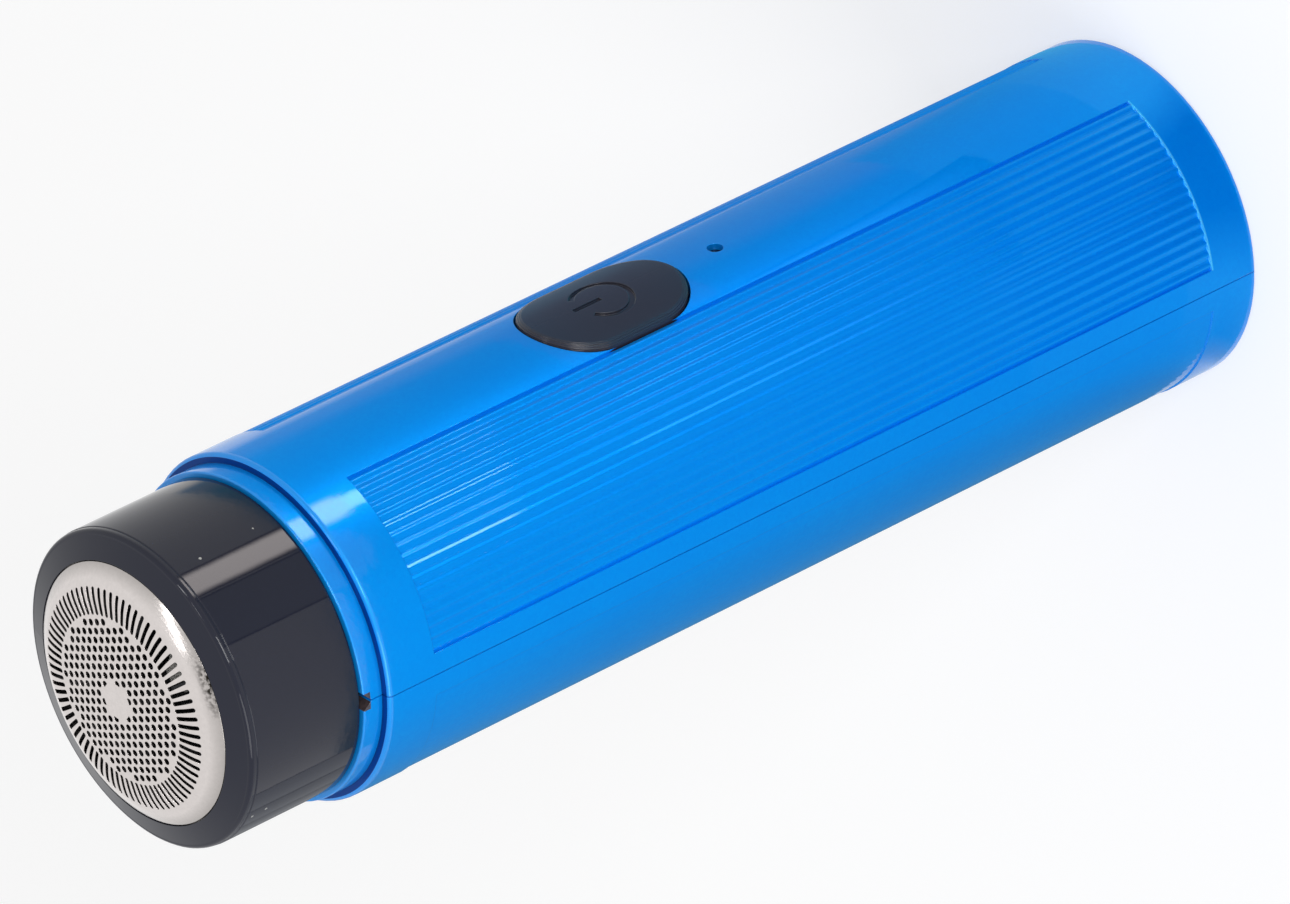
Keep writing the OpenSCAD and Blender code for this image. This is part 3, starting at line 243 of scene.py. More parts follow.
def blue_lacquer():
    """A metallic base coat under a clear coat, with painted shade in the bare notches and on
    the ledge, and a painted highlight at one panel's foot.
    """
    values = {"Metallic": 0.42, "Specular IOR Level": 0.0,
              "Coat Roughness": 0.05, "Coat IOR": 1.5}
    material, tree, place, shader, rounded = new_finish("metallic_blue_lacquer", 0.1, **values)
    axes = add(tree, "ShaderNodeSeparateXYZ", {"Vector": place}).outputs
    flakes = add(tree, "ShaderNodeTexVoronoi", {"Vector": place, "Scale": per_mm(FLAKE)})
    cloud = add(tree, "ShaderNodeTexNoise", {"Vector": place, "Scale": per_mm(CLOUD),
                                             "Detail": 3})
    shade = add(tree, "ShaderNodeMath", {0: flakes.outputs["Color"], 1: cloud.outputs["Fac"]},
                operation="MULTIPLY")
    blue = add(tree, "ShaderNodeMix",
               {"Factor": shade.outputs[0], COLOUR_A: linear(BASE_BLUE),
                COLOUR_B: linear(FLAKE_BLUE)}, data_type="RGBA").outputs[COLOUR_OUT]
    blue = bare_and_shaded_notches(tree, place, axes, blue)
    blue, corner = painted_ledge_shade(tree, place, axes, blue)
    blue = painted_edge_highlight(tree, axes, blue)
    # Painted shade: the clear coat is cut down on the ledge.
    coat = add(tree, "ShaderNodeMapRange", {"Value": corner, "To Min": COAT,
                                            "To Max": COAT_ON_SHADED_LEDGE})
    sheen = add(tree, "ShaderNodeMapRange",
                {"Value": flakes.outputs["Distance"], "To Min": FLAKE_SHEEN[0],
                 "To Max": FLAKE_SHEEN[1]})
    peel = add(tree, "ShaderNodeTexNoise", {"Vector": place, "Scale": per_mm(PEEL),
                                            "Detail": 2})
    bump = add(tree, "ShaderNodeBump", {"Strength": PEEL_BUMP, "Distance": PEEL_DEPTH * MM,
                                        "Height": peel.outputs["Fac"], "Normal": rounded})
    for socket, source in (("Base Color", blue), ("Roughness", sheen.outputs["Result"]),
                           ("Normal", bump.outputs["Normal"]),
                           ("Coat Normal", bump.outputs["Normal"]),
                           ("Coat Weight", coat.outputs["Result"])):
        tree.links.new(source, shader.inputs[socket])
    return material


finishes["shell_blue"] = blue_lacquer()
print("made", finishes["shell_blue"].name)

# %% [markdown]
# ## Dust
# Gloss black shows every grain of dust on it. Each grain could be a tiny mesh, but a
# cell pattern gives the same specks for nothing: every cell, 2 mm across, has a random
# value of its own, and the few cells with the highest values get a dot in the middle.

# %% Specks of dust
DUST_CELL, DUST_SIZE, DUST_GREY = 2, 0.07, "B8B8B4"


def dusty(tree, place, colour, share):
    """The colour with a speck of dust in that share of the pattern's cells."""
    dust = add(tree, "ShaderNodeTexVoronoi", {"Vector": place, "Scale": per_mm(DUST_CELL)})
    chosen = add(tree, "ShaderNodeMath", {0: dust.outputs["Color"], 1: 1 - share},
                 operation="GREATER_THAN")
    near = add(tree, "ShaderNodeMath", {0: dust.outputs["Distance"], 1: DUST_SIZE},
               operation="LESS_THAN")
    speck = add(tree, "ShaderNodeMath", {0: chosen.outputs[0], 1: near.outputs[0]},
                operation="MULTIPLY")
    mixed = add(tree, "ShaderNodeMix",
                {"Factor": speck.outputs[0], COLOUR_A: linear(colour),
                 COLOUR_B: linear(DUST_GREY)}, data_type="RGBA")
    return mixed.outputs[COLOUR_OUT]


print("a speck of dust is", 2 * DUST_SIZE * DUST_CELL, "mm across")

# %% [markdown]
# ## Moulded plastics
# ABS straight from a polished tool is glossy and very slightly wavy where it shrank.
# ABS from a spark-eroded tool is satin, with a grain of about 0.25 mm. One recipe
# serves both: how rough it is, how coarse the grain is and how deep. A plain plastic
# keeps its one colour on the shader itself.

# %% Moulded plastic
GLOSS_SWING, GRAIN_BUMP = 0.15, 0.4


def moulded(name, colour, rough, grain, depth, specks=0.0, edge=0.08, ior=1.5):
    """Plastic whose gloss and surface waver with one grain, in mm."""
    values = {"Base Color": linear(colour), "IOR": ior}
    material, tree, place, shader, rounded = new_finish(name, edge, **values)
    texture = add(tree, "ShaderNodeTexNoise", {"Vector": place, "Scale": per_mm(grain),
                                               "Detail": 3})
    tone = add(tree, "ShaderNodeMapRange",
               {"Value": texture.outputs["Fac"], "To Min": rough * (1 - GLOSS_SWING),
                "To Max": rough * (1 + GLOSS_SWING)})
    bump = add(tree, "ShaderNodeBump", {"Strength": GRAIN_BUMP, "Distance": depth * MM,
                                        "Height": texture.outputs["Fac"], "Normal": rounded})
    tree.links.new(tone.outputs["Result"], shader.inputs["Roughness"])
    tree.links.new(bump.outputs["Normal"], shader.inputs["Normal"])
    if specks:
        tree.links.new(dusty(tree, place, colour, specks), shader.inputs["Base Color"])
    return material


# The cap is polished and mirrors the room. The key is satin, with softer edges.
finishes["cap_black"] = moulded("gloss_black_abs", "1D2030", 0.06, 3, 0.012,
                                specks=0.25, ior=1.4)
finishes["button_black"] = moulded("satin_black_abs", "30303C", 0.17, 0.25, 0.006,
                                   specks=0.15, edge=0.12)
print("made", finishes["cap_black"].name, "and", finishes["button_black"].name)

# %% [markdown]
# ## Plastics, rubber and ferrite inside
# The inner pieces are plain mouldings that nobody polished, and show only when the
# head is off. Each line gives the slot, then the name, colour, roughness, grain and
# depth of the grain in millimetres.

# %% Inner mouldings
INNER_MOULDINGS = {
    # Acetal is waxy and off-white.
    "white_plastic": ("white_acetal", "E9E8E2", 0.4, 0.5, 0.005),
    # The same resin as the cap, from a tool that nobody polished.
    "grey_plastic": ("dark_grey_abs", "34353A", 0.4, 0.3, 0.008),
    # Nylon drinks in its dye and stays slightly matt.
    "switch_red": ("red_nylon", "A8332A", 0.45, 0.3, 0.008),
    # Filled epoxy round a chip is dull and fine-grained.
    "chip_black": ("epoxy_moulding", "1C1D1E", 0.55, 0.15, 0.01),
    # Soft PVC on the leads has a smooth, slightly greasy gloss.
    "wire_red": ("red_pvc_sleeve", "B3201C", 0.42, 0.8, 0.01),
    "wire_black": ("black_pvc_sleeve", "18181A", 0.42, 0.8, 0.01),
    # Rubber swallows the light, and pressed ferrite looks like dry slate.
    "rubber_black": ("nitrile_rubber", "161616", 0.75, 0.2, 0.015),
    "magnet_grey": ("sintered_ferrite", "3B3C3F", 0.6, 0.2, 0.02),
    # The cell's sleeve is shrunk on hot, so it is glossy and gently rippled.
    "cell_green": ("green_shrink_sleeve", "2E7D57", 0.3, 2, 0.02),
}
for slot, recipe in INNER_MOULDINGS.items():
    finishes[slot] = moulded(*recipe)
print("inner mouldings:", len(INNER_MOULDINGS))

# %% [markdown]
# ## Metals
# A metal's colour is all in its reflection, so the base colour is that of the bare
# metal. Rolled and drawn sheet carries fine parallel lines, a turned part carries
# rings round its axis, and a plated part is even. The lines are noise stretched along
# one direction: 0.15 mm across, and thirty times as long.

# %% Bare and plated metal
EVEN, ALONG_Z, ALONG_X, TURNED = (1, 1, 1), (1, 1, 30), (30, 1, 1), (30, 30, 1)
LINE_SWING, LINE_BUMP, LINE_SHADE = 0.2, 0.3, 0.86


def metal(name, colour, rough, stretch=ALONG_Z, grain=0.15, depth=0.004):
    """Metal with noise stretched by three factors, in tone and in height."""
    material, tree, place, shader, rounded = new_finish(name, edge=0.05, **{"Metallic": 1.0})
    lines = add(tree, "ShaderNodeMapping", {"Vector": place,
                                            "Scale": [1 / s for s in stretch]})
    texture = add(tree, "ShaderNodeTexNoise", {"Vector": lines.outputs["Vector"],
                                               "Scale": per_mm(grain), "Detail": 2})
    tone = add(tree, "ShaderNodeMapRange",
               {"Value": texture.outputs["Fac"], "To Min": rough * (1 - LINE_SWING),
                "To Max": rough * (1 + LINE_SWING)})
    bump = add(tree, "ShaderNodeBump", {"Strength": LINE_BUMP, "Distance": depth * MM,
                                        "Height": texture.outputs["Fac"], "Normal": rounded})
    base = add(tree, "ShaderNodeMix",
               {"Factor": texture.outputs["Fac"], COLOUR_A: linear(colour),
                COLOUR_B: [c * LINE_SHADE for c in linear(colour)[:3]] + [1]},
               data_type="RGBA")
    tree.links.new(base.outputs[COLOUR_OUT], shader.inputs["Base Color"])
    tree.links.new(tone.outputs["Result"], shader.inputs["Roughness"])
    tree.links.new(bump.outputs["Normal"], shader.inputs["Normal"])
    return material


print("lines run", ALONG_Z[2], "times as far as they are wide")

# %% [markdown]
# ## Metals inside the shaver
# Each line gives the slot, then the name, colour and roughness, and where they differ
# from the plain case the stretch, the grain and its depth in millimetres.

# %% Metals inside
INNER_METALS = {
    # The blades are ground dull, and their colour is darkened as painted shade behind the foil.
    "blade_steel": ("ground_blade_steel", "404144", 0.6),
    # Drawn wire and zinc plating have an even, soft gloss.
    "spring_steel": ("drawn_spring_steel", "B5B5B2", 0.28, EVEN),
    "screw_steel": ("zinc_plated_screw", "BEC0BE", 0.32, EVEN),
    # A ground shaft is the brightest metal here, with rings round it.
    "shaft_steel": ("ground_shaft_steel", "CBCBCD", 0.18, TURNED),
    # A deep-drawn can keeps fine lines along the way that it was drawn.
    "can_steel": ("drawn_nickel_plated_can", "C4C2BC", 0.3),
    # Stacked sheets show as coarse rings, and so do the turns of a winding.
    "core_steel": ("laminated_core_steel", "6E6C6A", 0.5, TURNED, 0.5, 0.05),
    "copper": ("enamelled_copper_wire", "C06A3A", 0.3, TURNED, 0.3, 0.08),
    # Terminals and tabs are stamped from rolled strip, with its lines in them.
    "brass": ("stamped_brass", "D2B36A", 0.3),
    "nickel": ("nickel_strip", "C8C4B8", 0.3, ALONG_X),
}
for slot, recipe in INNER_METALS.items():
    finishes[slot] = metal(*recipe)
print("metals inside:", len(INNER_METALS))

# %% [markdown]
# ## Painted shade and reflection on the foil's rim
# The foil is thin stainless sheet, pressed to a shallow dome. Its rim turns down into
# the cap, and the shade there is painted as a greyer band. A dark reflection of the
# black bezel at one place on the rim is painted on too. A drawn picture of these marks
# would need the foil unwrapped. Instead both marks follow a point's distance from the
# axis, and the dark reflection also its distance from one spot, broken up by noise so
# that no round stain shows.

# %% Painted rim shade and reflection
RIM_TURNS, RIM_SHADE_GREY, RIM_SHARE = (11.2, 12.4), "8E8A86", 0.55
REFLECTION_AT, REFLECTION_REACH, REFLECTION_RIM = (-11.1, -5.6, 119.2), (1, 3.4), (11.5, 12.1)
REFLECTION_GRAIN, REFLECTION_BREAKS, REFLECTION_BROWN = 0.35, (0.4, 0.6), "2A2620"


def rim_painted_shade(tree, radius, colour):
    """The colour, greyer where the rim turns down: painted shade."""
    turned = add(tree, "ShaderNodeMapRange",
                 {"Value": radius, "From Min": RIM_TURNS[0] * MM,
                  "From Max": RIM_TURNS[1] * MM, "To Max": RIM_SHARE})
    # Painted shade: a greyer band where the rim turns down.
    mixed = add(tree, "ShaderNodeMix", {"Factor": turned.outputs["Result"], COLOUR_A: colour,
                                        COLOUR_B: linear(RIM_SHADE_GREY)}, data_type="RGBA")
    return mixed.outputs[COLOUR_OUT]


def painted_rim_reflection(tree, place, radius, colour):
    """The colour, with a broken painted dark reflection at one place on the rim."""
    apart = add(tree, "ShaderNodeVectorMath", {0: place, 1: [v * MM for v in REFLECTION_AT]},
                operation="DISTANCE")
    near = add(tree, "ShaderNodeMapRange",
               {"Value": apart.outputs["Value"], "From Min": REFLECTION_REACH[0] * MM,
                "From Max": REFLECTION_REACH[1] * MM, "To Min": 1.0, "To Max": 0.0})
    rim = add(tree, "ShaderNodeMapRange", {"Value": radius, "From Min": REFLECTION_RIM[0] * MM,
                                           "From Max": REFLECTION_RIM[1] * MM})
    breakup_noise = add(tree, "ShaderNodeTexNoise", {"Vector": place, "Scale": per_mm(REFLECTION_GRAIN),
                                            "Detail": 4})
    grain = add(tree, "ShaderNodeMapRange",
                {"Value": breakup_noise.outputs["Fac"], "From Min": REFLECTION_BREAKS[0],
                 "From Max": REFLECTION_BREAKS[1]})
    painted_dark = add(tree, "ShaderNodeMath", {0: near.outputs["Result"], 1: rim.outputs["Result"]},
               operation="MULTIPLY")
    painted_dark = add(tree, "ShaderNodeMath", {0: painted_dark.outputs[0], 1: grain.outputs["Result"]},
               operation="MULTIPLY")
    # Painted reflection: the dark bezel mirrored as a brown streak on the rim.
    mixed = add(tree, "ShaderNodeMix", {"Factor": painted_dark.outputs[0], COLOUR_A: colour,
                                        COLOUR_B: linear(REFLECTION_BROWN)}, data_type="RGBA")
    return mixed.outputs[COLOUR_OUT]


print("the rim greys from a radius of", RIM_TURNS[0], "to", RIM_TURNS[1], "mm")

# %% [markdown]
# ## The foil
# The field of slots and holes is satin from the etching that opened them, and the
# plain rim round it is polished by the skin that slides over it. Two finishes with a
# sharp border would look like two pieces, so it is one even metal whose roughness
# comes down gently outside the field.

# %% Foil steel
POLISH_FROM, POLISH_TO, POLISH_SHARE = 9.5, 10.2, 0.7


def foil_steel():
    """Steel that is satin over the field and polished on the rim, with painted shade and a
    painted dark reflection there.
    """
    material = metal("polished_stainless_foil", "F2EBE8", 0.24, EVEN, 0.4, 0.0015)
    tree = material.node_tree
    shader = next(n for n in tree.nodes if n.type == "BSDF_PRINCIPLED")
    place = add(tree, "ShaderNodeTexCoord").outputs["Object"]
    radius = from_axis(tree, place)
    polish = add(tree, "ShaderNodeMapRange",
                 {"Value": radius, "From Min": POLISH_FROM * MM, "From Max": POLISH_TO * MM,
                  "To Min": 1.0, "To Max": POLISH_SHARE})
    etched = shader.inputs["Roughness"].links[0].from_socket
    rough = add(tree, "ShaderNodeMath", {0: etched, 1: polish.outputs["Result"]},
                operation="MULTIPLY")
    clean = shader.inputs["Base Color"].links[0].from_socket
    painted_dark = painted_rim_reflection(tree, place, radius, rim_painted_shade(tree, radius, clean))
    tree.links.new(rough.outputs[0], shader.inputs["Roughness"])
    tree.links.new(painted_dark, shader.inputs["Base Color"])
    return material


finishes["foil_steel"] = foil_steel()
print("made", finishes["foil_steel"].name)

# %% [markdown]
# ## Circuit board
# The board is glass epoxy under green solder mask, glossy, with its tracks faintly
# raised under the mask. Real tracks would be a drawing of their own. A brick pattern
# of 4 mm gives the eye enough of them, on a piece that hides inside the shells.

# %% Solder mask
TRACKS, TRACK_SHARE, TRACK_HEIGHT, TRACK_BUMP = 4, 0.03, 0.03, 0.4


def solder_mask():
    """Green mask with tracks that stand up a little."""
    material, tree, place, shader, rounded = new_finish(
        "green_solder_mask", **{"Roughness": 0.32, "IOR": 1.5})
    tracks = add(tree, "ShaderNodeTexBrick",
                 {"Vector": place, "Color1": linear("0F5B33"), "Color2": linear("11663A"),
                  "Mortar": linear("1C7A48"), "Scale": per_mm(TRACKS),
                  "Mortar Size": TRACK_SHARE})
    bump = add(tree, "ShaderNodeBump", {"Strength": TRACK_BUMP, "Distance": TRACK_HEIGHT * MM,
                                        "Height": tracks.outputs["Fac"], "Normal": rounded})
    tree.links.new(tracks.outputs["Color"], shader.inputs["Base Color"])
    tree.links.new(bump.outputs["Normal"], shader.inputs["Normal"])
    return material


finishes["board_green"] = solder_mask()
print("made", finishes["board_green"].name)

# %% [markdown]
# ## Light pipe and lamp
# The light pipe gets a near black tint, painted shade that makes its hole read dark.
# The lamp's body is milky epoxy. Both are clear mouldings that let some light through,
# with a faint ripple in their gloss.

# %% Clear parts
RIPPLE, RIPPLE_SWING, CLEAR_IOR = 0.8, 0.3, 1.58


def clear_moulding(name, tint, rough, through, gloss=0.5, light="E8ECEC"):
    """A moulding that lets a share of the light through."""
    material, tree, place, shader, _ = new_finish(
        name, **{"IOR": CLEAR_IOR, "Transmission Weight": through, "Specular IOR Level": gloss})
    ripple = add(tree, "ShaderNodeTexNoise", {"Vector": place, "Scale": per_mm(RIPPLE)})
    tone = add(tree, "ShaderNodeMapRange",
               {"Value": ripple.outputs["Fac"], "To Min": rough * (1 - RIPPLE_SWING),
                "To Max": rough * (1 + RIPPLE_SWING)})
    base = add(tree, "ShaderNodeMix",
               {"Factor": ripple.outputs["Fac"], COLOUR_A: linear(tint),
                COLOUR_B: linear(light)}, data_type="RGBA")
    tree.links.new(tone.outputs["Result"], shader.inputs["Roughness"])
    tree.links.new(base.outputs[COLOUR_OUT], shader.inputs["Base Color"])
    return material


# Painted shade: the pipe's near black tint darkens the indicator hole.
finishes["clear"] = clear_moulding("painted_shade_polycarbonate", "0A0E18", 0.12, 0.1, 0.15, "10141E")
finishes["led_white"] = clear_moulding("milky_epoxy", "F2F0E4", 0.35, 0.2)
print("finishes:", len(finishes))

# %% [markdown]
# ## Dress the solids
# The record says which slot each solid takes its finish from, so one loop gives every
# solid the finish of its slot.

# %% Give each solid its finish
for part in frame["record"]["subparts"]:
    solid = frame["nodes"][part["node"]]
    solid.data.materials.clear()
    solid.data.materials.append(finishes[part["material_slot"]])

# %% [markdown]
# ## What the set is made of
# The table, the cards and the graded sheets are all flat pieces with a material of
# their own, so one function makes them. Two of them need to tell rays apart: a ray
# that shows a surface, straight, mirrored or through glass, from one that only
# carries its light on to others.

# %% Flat pieces and rays
def flat_piece(name, points, faces, material):
    """A flat piece of the set, with its material, in the scene."""
    mesh = bpy.data.meshes.new(name)
    mesh.from_pydata(points, [], faces)
    mesh.materials.append(material)
    made = bpy.data.objects.new(name, mesh)
    bpy.context.scene.collection.objects.link(made)
    return made


def shown(tree):
    """1 for a ray that shows the surface, 0 for one that only carries light."""
    rays = add(tree, "ShaderNodeLightPath").outputs
    straight = add(tree, "ShaderNodeMath", {0: rays["Is Camera Ray"], 1: rays["Is Glossy Ray"]},
                   operation="MAXIMUM")
    return add(tree, "ShaderNodeMath", {0: straight.outputs[0],
                                        1: rays["Is Transmission Ray"]},
               operation="MAXIMUM").outputs[0]


print("the shaver stands at", round(cad_low.z / MM, 2), "mm, and the set is built from there")

# %% [markdown]
# ## The table
# The shaver stands on a plain white table. A matt white sheet lit by the lamps comes
# out a little below paper white, so the sheet also shines faintly for the camera and
# in reflections. That lifts it to white and leaves the soft shadow in place.

# %% White table
TABLE_HALF, TABLE_GAP, TABLE_SHINE = 4.0, 0.02, 0.5


def white_table():
    """A matt sheet, 8 m across, just under the shaver."""
    material, tree = blank("matt_white_paper")
    paper = add(tree, "ShaderNodeBsdfDiffuse", {"Color": linear("CBCBCB")})
    glow = add(tree, "ShaderNodeMath", {0: shown(tree), 1: TABLE_SHINE}, operation="MULTIPLY")
    shine = add(tree, "ShaderNodeEmission", {"Strength": glow.outputs[0]})
    both = add(tree, "ShaderNodeAddShader", {0: paper.outputs[0], 1: shine.outputs[0]})
    add(tree, "ShaderNodeOutputMaterial", {"Surface": both.outputs[0]})
    corners = [(x * TABLE_HALF, y * TABLE_HALF, 0)
               for x, y in ((-1, -1), (1, -1), (1, 1), (-1, 1))]
    table = flat_piece("table_top", corners, [(0, 1, 2, 3)], material)
    table.location.z = cad_low.z - TABLE_GAP * MM
    return table


table = white_table()
print("table lies at", round(table.location.z / MM, 3), "mm")

# %% [markdown]
# ## The room
# A white room lights everything evenly, at a level at which a colour renders about as
# it is written. It looks white itself, but lights the object a little less than it
# looks, which leaves room for the lamps.

# %% White room
ROOM_LIGHT, ROOM_LOOK = 0.7, 1.0
bpy.context.scene.view_settings.view_transform = "Standard"
world = bpy.data.worlds.new("white_room")
bpy.context.scene.world = world
world.use_nodes = True
world.node_tree.nodes.clear()
level = add(world.node_tree, "ShaderNodeMapRange",
            {"Value": shown(world.node_tree), "To Min": ROOM_LIGHT, "To Max": ROOM_LOOK})
room = add(world.node_tree, "ShaderNodeBackground", {"Strength": level.outputs["Result"]})
add(world.node_tree, "ShaderNodeOutputWorld", {"Surface": room.outputs[0]})
print("room lights at", ROOM_LIGHT, "and looks", ROOM_LOOK)

# %% [markdown]
# ## Lamps
# Three lamps model the form. A large softbox beside the camera, towards the back of
# the shaver, lights the seam's side and throws the soft shadow. A small one just under
# the camera fills the front. A narrow one high over the button's side draws a thin arc
# on the foil's rim, and is kept out of matt surfaces so that it lights nothing else.
# Places and sizes are in metres, and places count from the middle of the shaver.

# %% Lamps
def lamp(name, offset, width, height, watts):
    """A rectangular lamp that points at the middle of the shaver."""
    middle = (cad_low + cad_high) / 2
    data = bpy.data.lights.new(name, "AREA")
    data.shape = "RECTANGLE"
    data.size, data.size_y, data.energy = width, height, watts
    made = bpy.data.objects.new(name, data)
    bpy.context.scene.collection.objects.link(made)
    made.location = middle + Vector(offset)
    made.rotation_euler = (middle - made.location).to_track_quat("-Z", "Y").to_euler()
    made.visible_camera = False
    print(name, watts, "W")
    return made


lamp("key_softbox", (-0.85, 0.3, 0.65), 0.7, 0.7, 3.8)
lamp("rim_light", (0.11, -0.3, 0.89), 0.06, 0.4, 0.6).visible_diffuse = False
lamp("front_softbox", (-0.68, -0.53, 0.4), 0.28, 0.28, 2.3)

# %% [markdown]
# ## Cards for the reflections
# A glossy upright cylinder seen from above mirrors only the table in front of it, so
# its highlights are made there. Two bright strips, one over the other, give the streak
# down the cap, and grey cards beside and behind it give the deeper tones. They are
# seen in reflections only, so they throw no light and no shadow. The angle runs from
# the button's side of the shaver round towards the camera.

# %% Cards
CARD_LIFT = 0.1
BACK_START, BACK_STEP, BACK_GLOWS = 166, 18, (0.7, 0.5, 0.38, 0.3)


def mirrored_only(made):
    """Seen in reflections, and nowhere else."""
    made.visible_camera = made.visible_diffuse = made.visible_shadow = False
    made.visible_transmission = False


def card(name, angle, distance, width, foot, head, glow, tint="F6FAFF", soft=0.1, fade=1.0,
         flat=False):
    """A card that faces the shaver's axis. Angle in degrees, sizes in mm.

    Its sides fade out over the share soft, and its glow grows from fade times glow at
    the foot to glow at the head. A flat card lies on the table with its head outwards.
    """
    half, low, high = (v * MM for v in (width / 2, foot, head))
    material, tree = blank(name + "_paper")
    place = add(tree, "ShaderNodeTexCoord").outputs["Object"]
    axes = add(tree, "ShaderNodeSeparateXYZ", {"Vector": place}).outputs
    aside = add(tree, "ShaderNodeMath", {0: axes["X"]}, operation="ABSOLUTE").outputs[0]
    side = add(tree, "ShaderNodeMapRange",
               {"Value": aside, "From Min": half * (1 - soft), "From Max": half,
                "To Min": 1.0, "To Max": 0.0}, interpolation_type="SMOOTHSTEP")
    rise = add(tree, "ShaderNodeMapRange", {"Value": axes["Z"], "From Min": low,
                                            "From Max": high, "To Min": glow * fade,
                                            "To Max": glow})
    power = add(tree, "ShaderNodeMath", {0: side.outputs["Result"], 1: rise.outputs["Result"]},
                operation="MULTIPLY")
    shine = add(tree, "ShaderNodeEmission", {"Color": linear(tint),
                                             "Strength": power.outputs[0]})
    add(tree, "ShaderNodeOutputMaterial", {"Surface": shine.outputs[0]})
    made = flat_piece(name, [(-half, 0, low), (half, 0, low), (half, 0, high),
                             (-half, 0, high)], [(0, 1, 2, 3)], material)
    turn = math.radians(angle)
    made.location = Vector((-math.sin(turn), -math.cos(turn), 0)) * distance * MM
    made.rotation_euler.z = -turn
    if flat:
        made.rotation_euler.x = math.radians(90)
        made.location.z = cad_low.z + CARD_LIFT * MM
    mirrored_only(made)
    return made


cards = [card("strip_card", 6, 120, 42, 34, 60, 7.0, "FFF6F2", soft=0.5),
         card("low_strip_card", 6, 120, 26, 15, 34, 11, "C4ECFF", soft=0.5),
         card("front_card", 34, 128, 80, 30, 80, 0.62)]
for step, glow in enumerate(BACK_GLOWS):
    cards.append(card(f"back_card_{step}", BACK_START + BACK_STEP * step, 90, 29, 54, 90, glow))
print("cards:", [made.name for made in cards])

# %% [markdown]
# ## The strip for the ribs
# Each rib of the grip mirrors the table and shows one bright line. The lines could be
# painted on, but then they would stay put when the shaver turns. A strip that lies
# flat on the table draws them instead. It is sky blue, which keeps them in the
# lacquer's colour, and it is brightest at its far end, as a window's image is.

# %% Strip on the table
strip = card("table_strip", -2, 0, 24, 45, 118, 5.5, "58C8FF", soft=0.6, fade=0.0, flat=True)
print("strip lies at", round(strip.location.z / MM, 2), "mm")

# %% [markdown]
# ## Graded sheets on the table
# The blue shells stand over the table and mirror it from the foot up: the foot mirrors
# what lies close by, the shoulder what lies farther out. Rings of graded paper round
# the shaver give each height its own tones. One ring is a gradient round its middle,
# with a stop of colour at each angle that matters.

# %% A graded ring
FULL_TURN, RING_START, RING_STEPS, RING_LIFT = 360, 228, 72, 0.05


def ring_sheet(name, inner, outer, stops):
    """A flat ring on the table. Stops run from RING_START down: angle and colour."""
    material, tree = blank(name + "_paper")
    place = add(tree, "ShaderNodeTexCoord").outputs["Object"]
    round_it = add(tree, "ShaderNodeTexGradient", {"Vector": place}, gradient_type="RADIAL")
    tones = add(tree, "ShaderNodeValToRGB", {"Fac": round_it.outputs["Fac"]})
    ramp = tones.color_ramp.elements
    for angle, tone in stops:
        ramp.new((RING_START - angle) / FULL_TURN).color = linear(tone)
    # The ramp's own black and white ends go.
    ramp.remove(ramp[0])
    ramp.remove(ramp[len(ramp) - 1])
    shine = add(tree, "ShaderNodeEmission", {"Color": tones.outputs["Color"]})
    add(tree, "ShaderNodeOutputMaterial", {"Surface": shine.outputs[0]})
    turns = [2 * math.pi * i / RING_STEPS - math.pi for i in range(RING_STEPS + 1)]
    points = [(math.cos(t) * r * MM, math.sin(t) * r * MM, 0)
              for t in turns for r in (inner, outer)]
    faces = [(2 * i, 2 * i + 1, 2 * i + 3, 2 * i + 2) for i in range(RING_STEPS)]
    made = flat_piece(name, points, faces, material)
    made.location.z = cad_low.z + RING_LIFT * MM
    made.rotation_euler.z = math.radians(90 - RING_START)
    mirrored_only(made)
    return made


print("a ring has", RING_STEPS, "steps of", FULL_TURN / RING_STEPS, "degrees")

# %% [markdown]
# ## Tones of the rings
# White paper on the left makes the pale edge there, and blue-grey paper takes over
# towards the front. Clear blue in front keeps the lacquer's colour pure, a paler blue
# near the foot lights the base, and a deep blue there makes the dark bay at the end
# of the ribs. Radii are in millimetres, and angles run as they do for the cards.

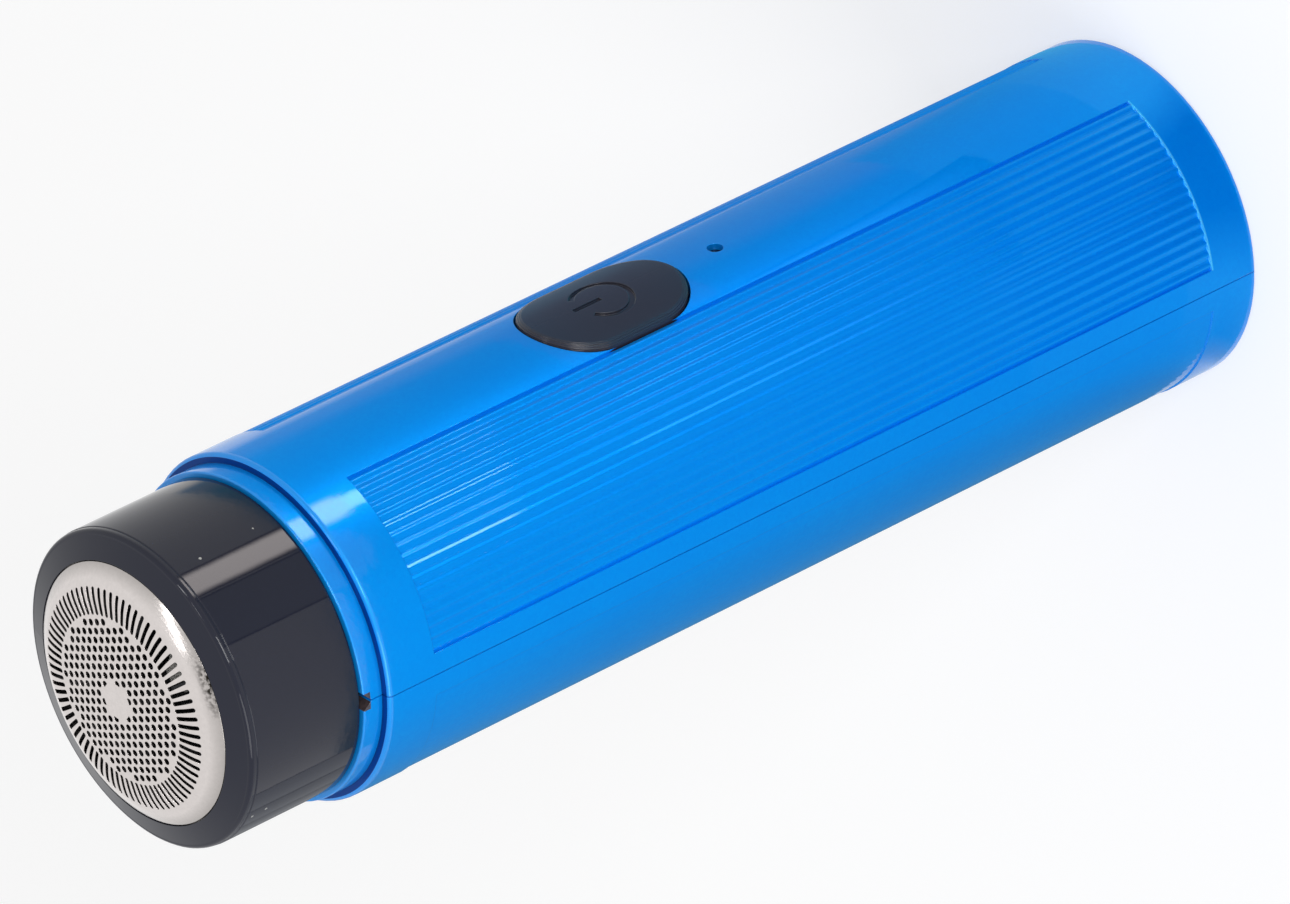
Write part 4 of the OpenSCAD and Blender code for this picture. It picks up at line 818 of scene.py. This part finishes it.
# %% Rings
WHITE, SIDE, FRONT, BACK = "FFFFFF", "86ACCE", "49ADDA", "5888A2"
PALE_FOOT, PALE_NEAR, PALE_EDGE = "8CF0FF", "62CCF0", "7CD8F0"
BAY, DEEP, HALF_DEEP, DUSK = "0416A8", "1438C4", "3688DA", "8294B4"
CORNER, CORNER_PALE = "9CB4C6", "DCE4EC"
LEFT = [(-131, WHITE), (-86, WHITE), (-77, SIDE), (-68, SIDE)]
RIGHT = [(132, FRONT), (150, BACK), (226, BACK)]
FOOT = [(-56, FRONT), (0, PALE_FOOT), (14, PALE_FOOT), (34, BAY), (66, BAY), (96, PALE_EDGE)]
PALE_CORNER = [(122, FRONT), (134, CORNER), (142, CORNER_PALE), (226, CORNER_PALE)]
for name, inner, outer, stops in (
        ("foot_ring", 17, 21, FOOT + PALE_CORNER),
        ("bay_ring", 21, 27, FOOT + RIGHT),
        ("near_ring", 27, 54, [(-56, FRONT), (-20, PALE_NEAR), (16, PALE_NEAR), (42, DEEP),
                               (72, DEEP), (96, PALE_NEAR)] + RIGHT),
        ("middle_ring", 54, 95, [(-44, SIDE), (-30, FRONT), (30, FRONT), (46, HALF_DEEP),
                                 (72, HALF_DEEP), (88, FRONT)] + RIGHT),
        ("button_ring", 95, 124, [(-60, DUSK), (-18, DUSK), (0, FRONT)] + RIGHT),
        ("far_ring", 124, 184, [(-56, FRONT)] + RIGHT)):
    ring_sheet(name, inner, outer, LEFT + stops)
    print(name, "from", inner, "to", outer, "mm")

# %% [markdown]
# ## Camera
# The camera looks down on the standing shaver from the front left with a long lens,
# and is rolled so that the head comes to the lower left. A camera turned by three
# angles in a row is hard to read, so its right, up and back directions are worked out
# and written into its matrix. The turn and the rise place it, and the roll comes last.

# %% Camera
CAMERA_TURN, CAMERA_RISE, CAMERA_ROLL = (math.radians(a) for a in (-52.2, 33.32, -115.98))
CAMERA_DISTANCE, CAMERA_LENS, SENSOR_WIDTH = 1.2511, 390.7, 36.0
CLIP_NEAR, CLIP_FAR = 0.1, 20.0
AIM = Vector((-0.37, 0.48, 59.81)) * MM
camera_data = bpy.data.cameras.new("camera")
camera_data.lens, camera_data.sensor_width = CAMERA_LENS, SENSOR_WIDTH
camera_data.clip_start, camera_data.clip_end = CLIP_NEAR, CLIP_FAR
camera = bpy.data.objects.new("camera", camera_data)
bpy.context.scene.collection.objects.link(camera)
bpy.context.scene.camera = camera
back = Vector((math.sin(CAMERA_TURN) * math.cos(CAMERA_RISE),
               -math.cos(CAMERA_TURN) * math.cos(CAMERA_RISE), math.sin(CAMERA_RISE)))
level_right = Vector((0, 0, 1)).cross(back).normalized()
level_up = back.cross(level_right)
right = level_right * math.cos(CAMERA_ROLL) + level_up * math.sin(CAMERA_ROLL)
up = back.cross(right)
camera.matrix_world = Matrix.Translation(AIM + back * CAMERA_DISTANCE) @ Matrix(
    (right, up, back)).transposed().to_4x4()
print("camera at", [round(v, 3) for v in camera.matrix_world.translation])
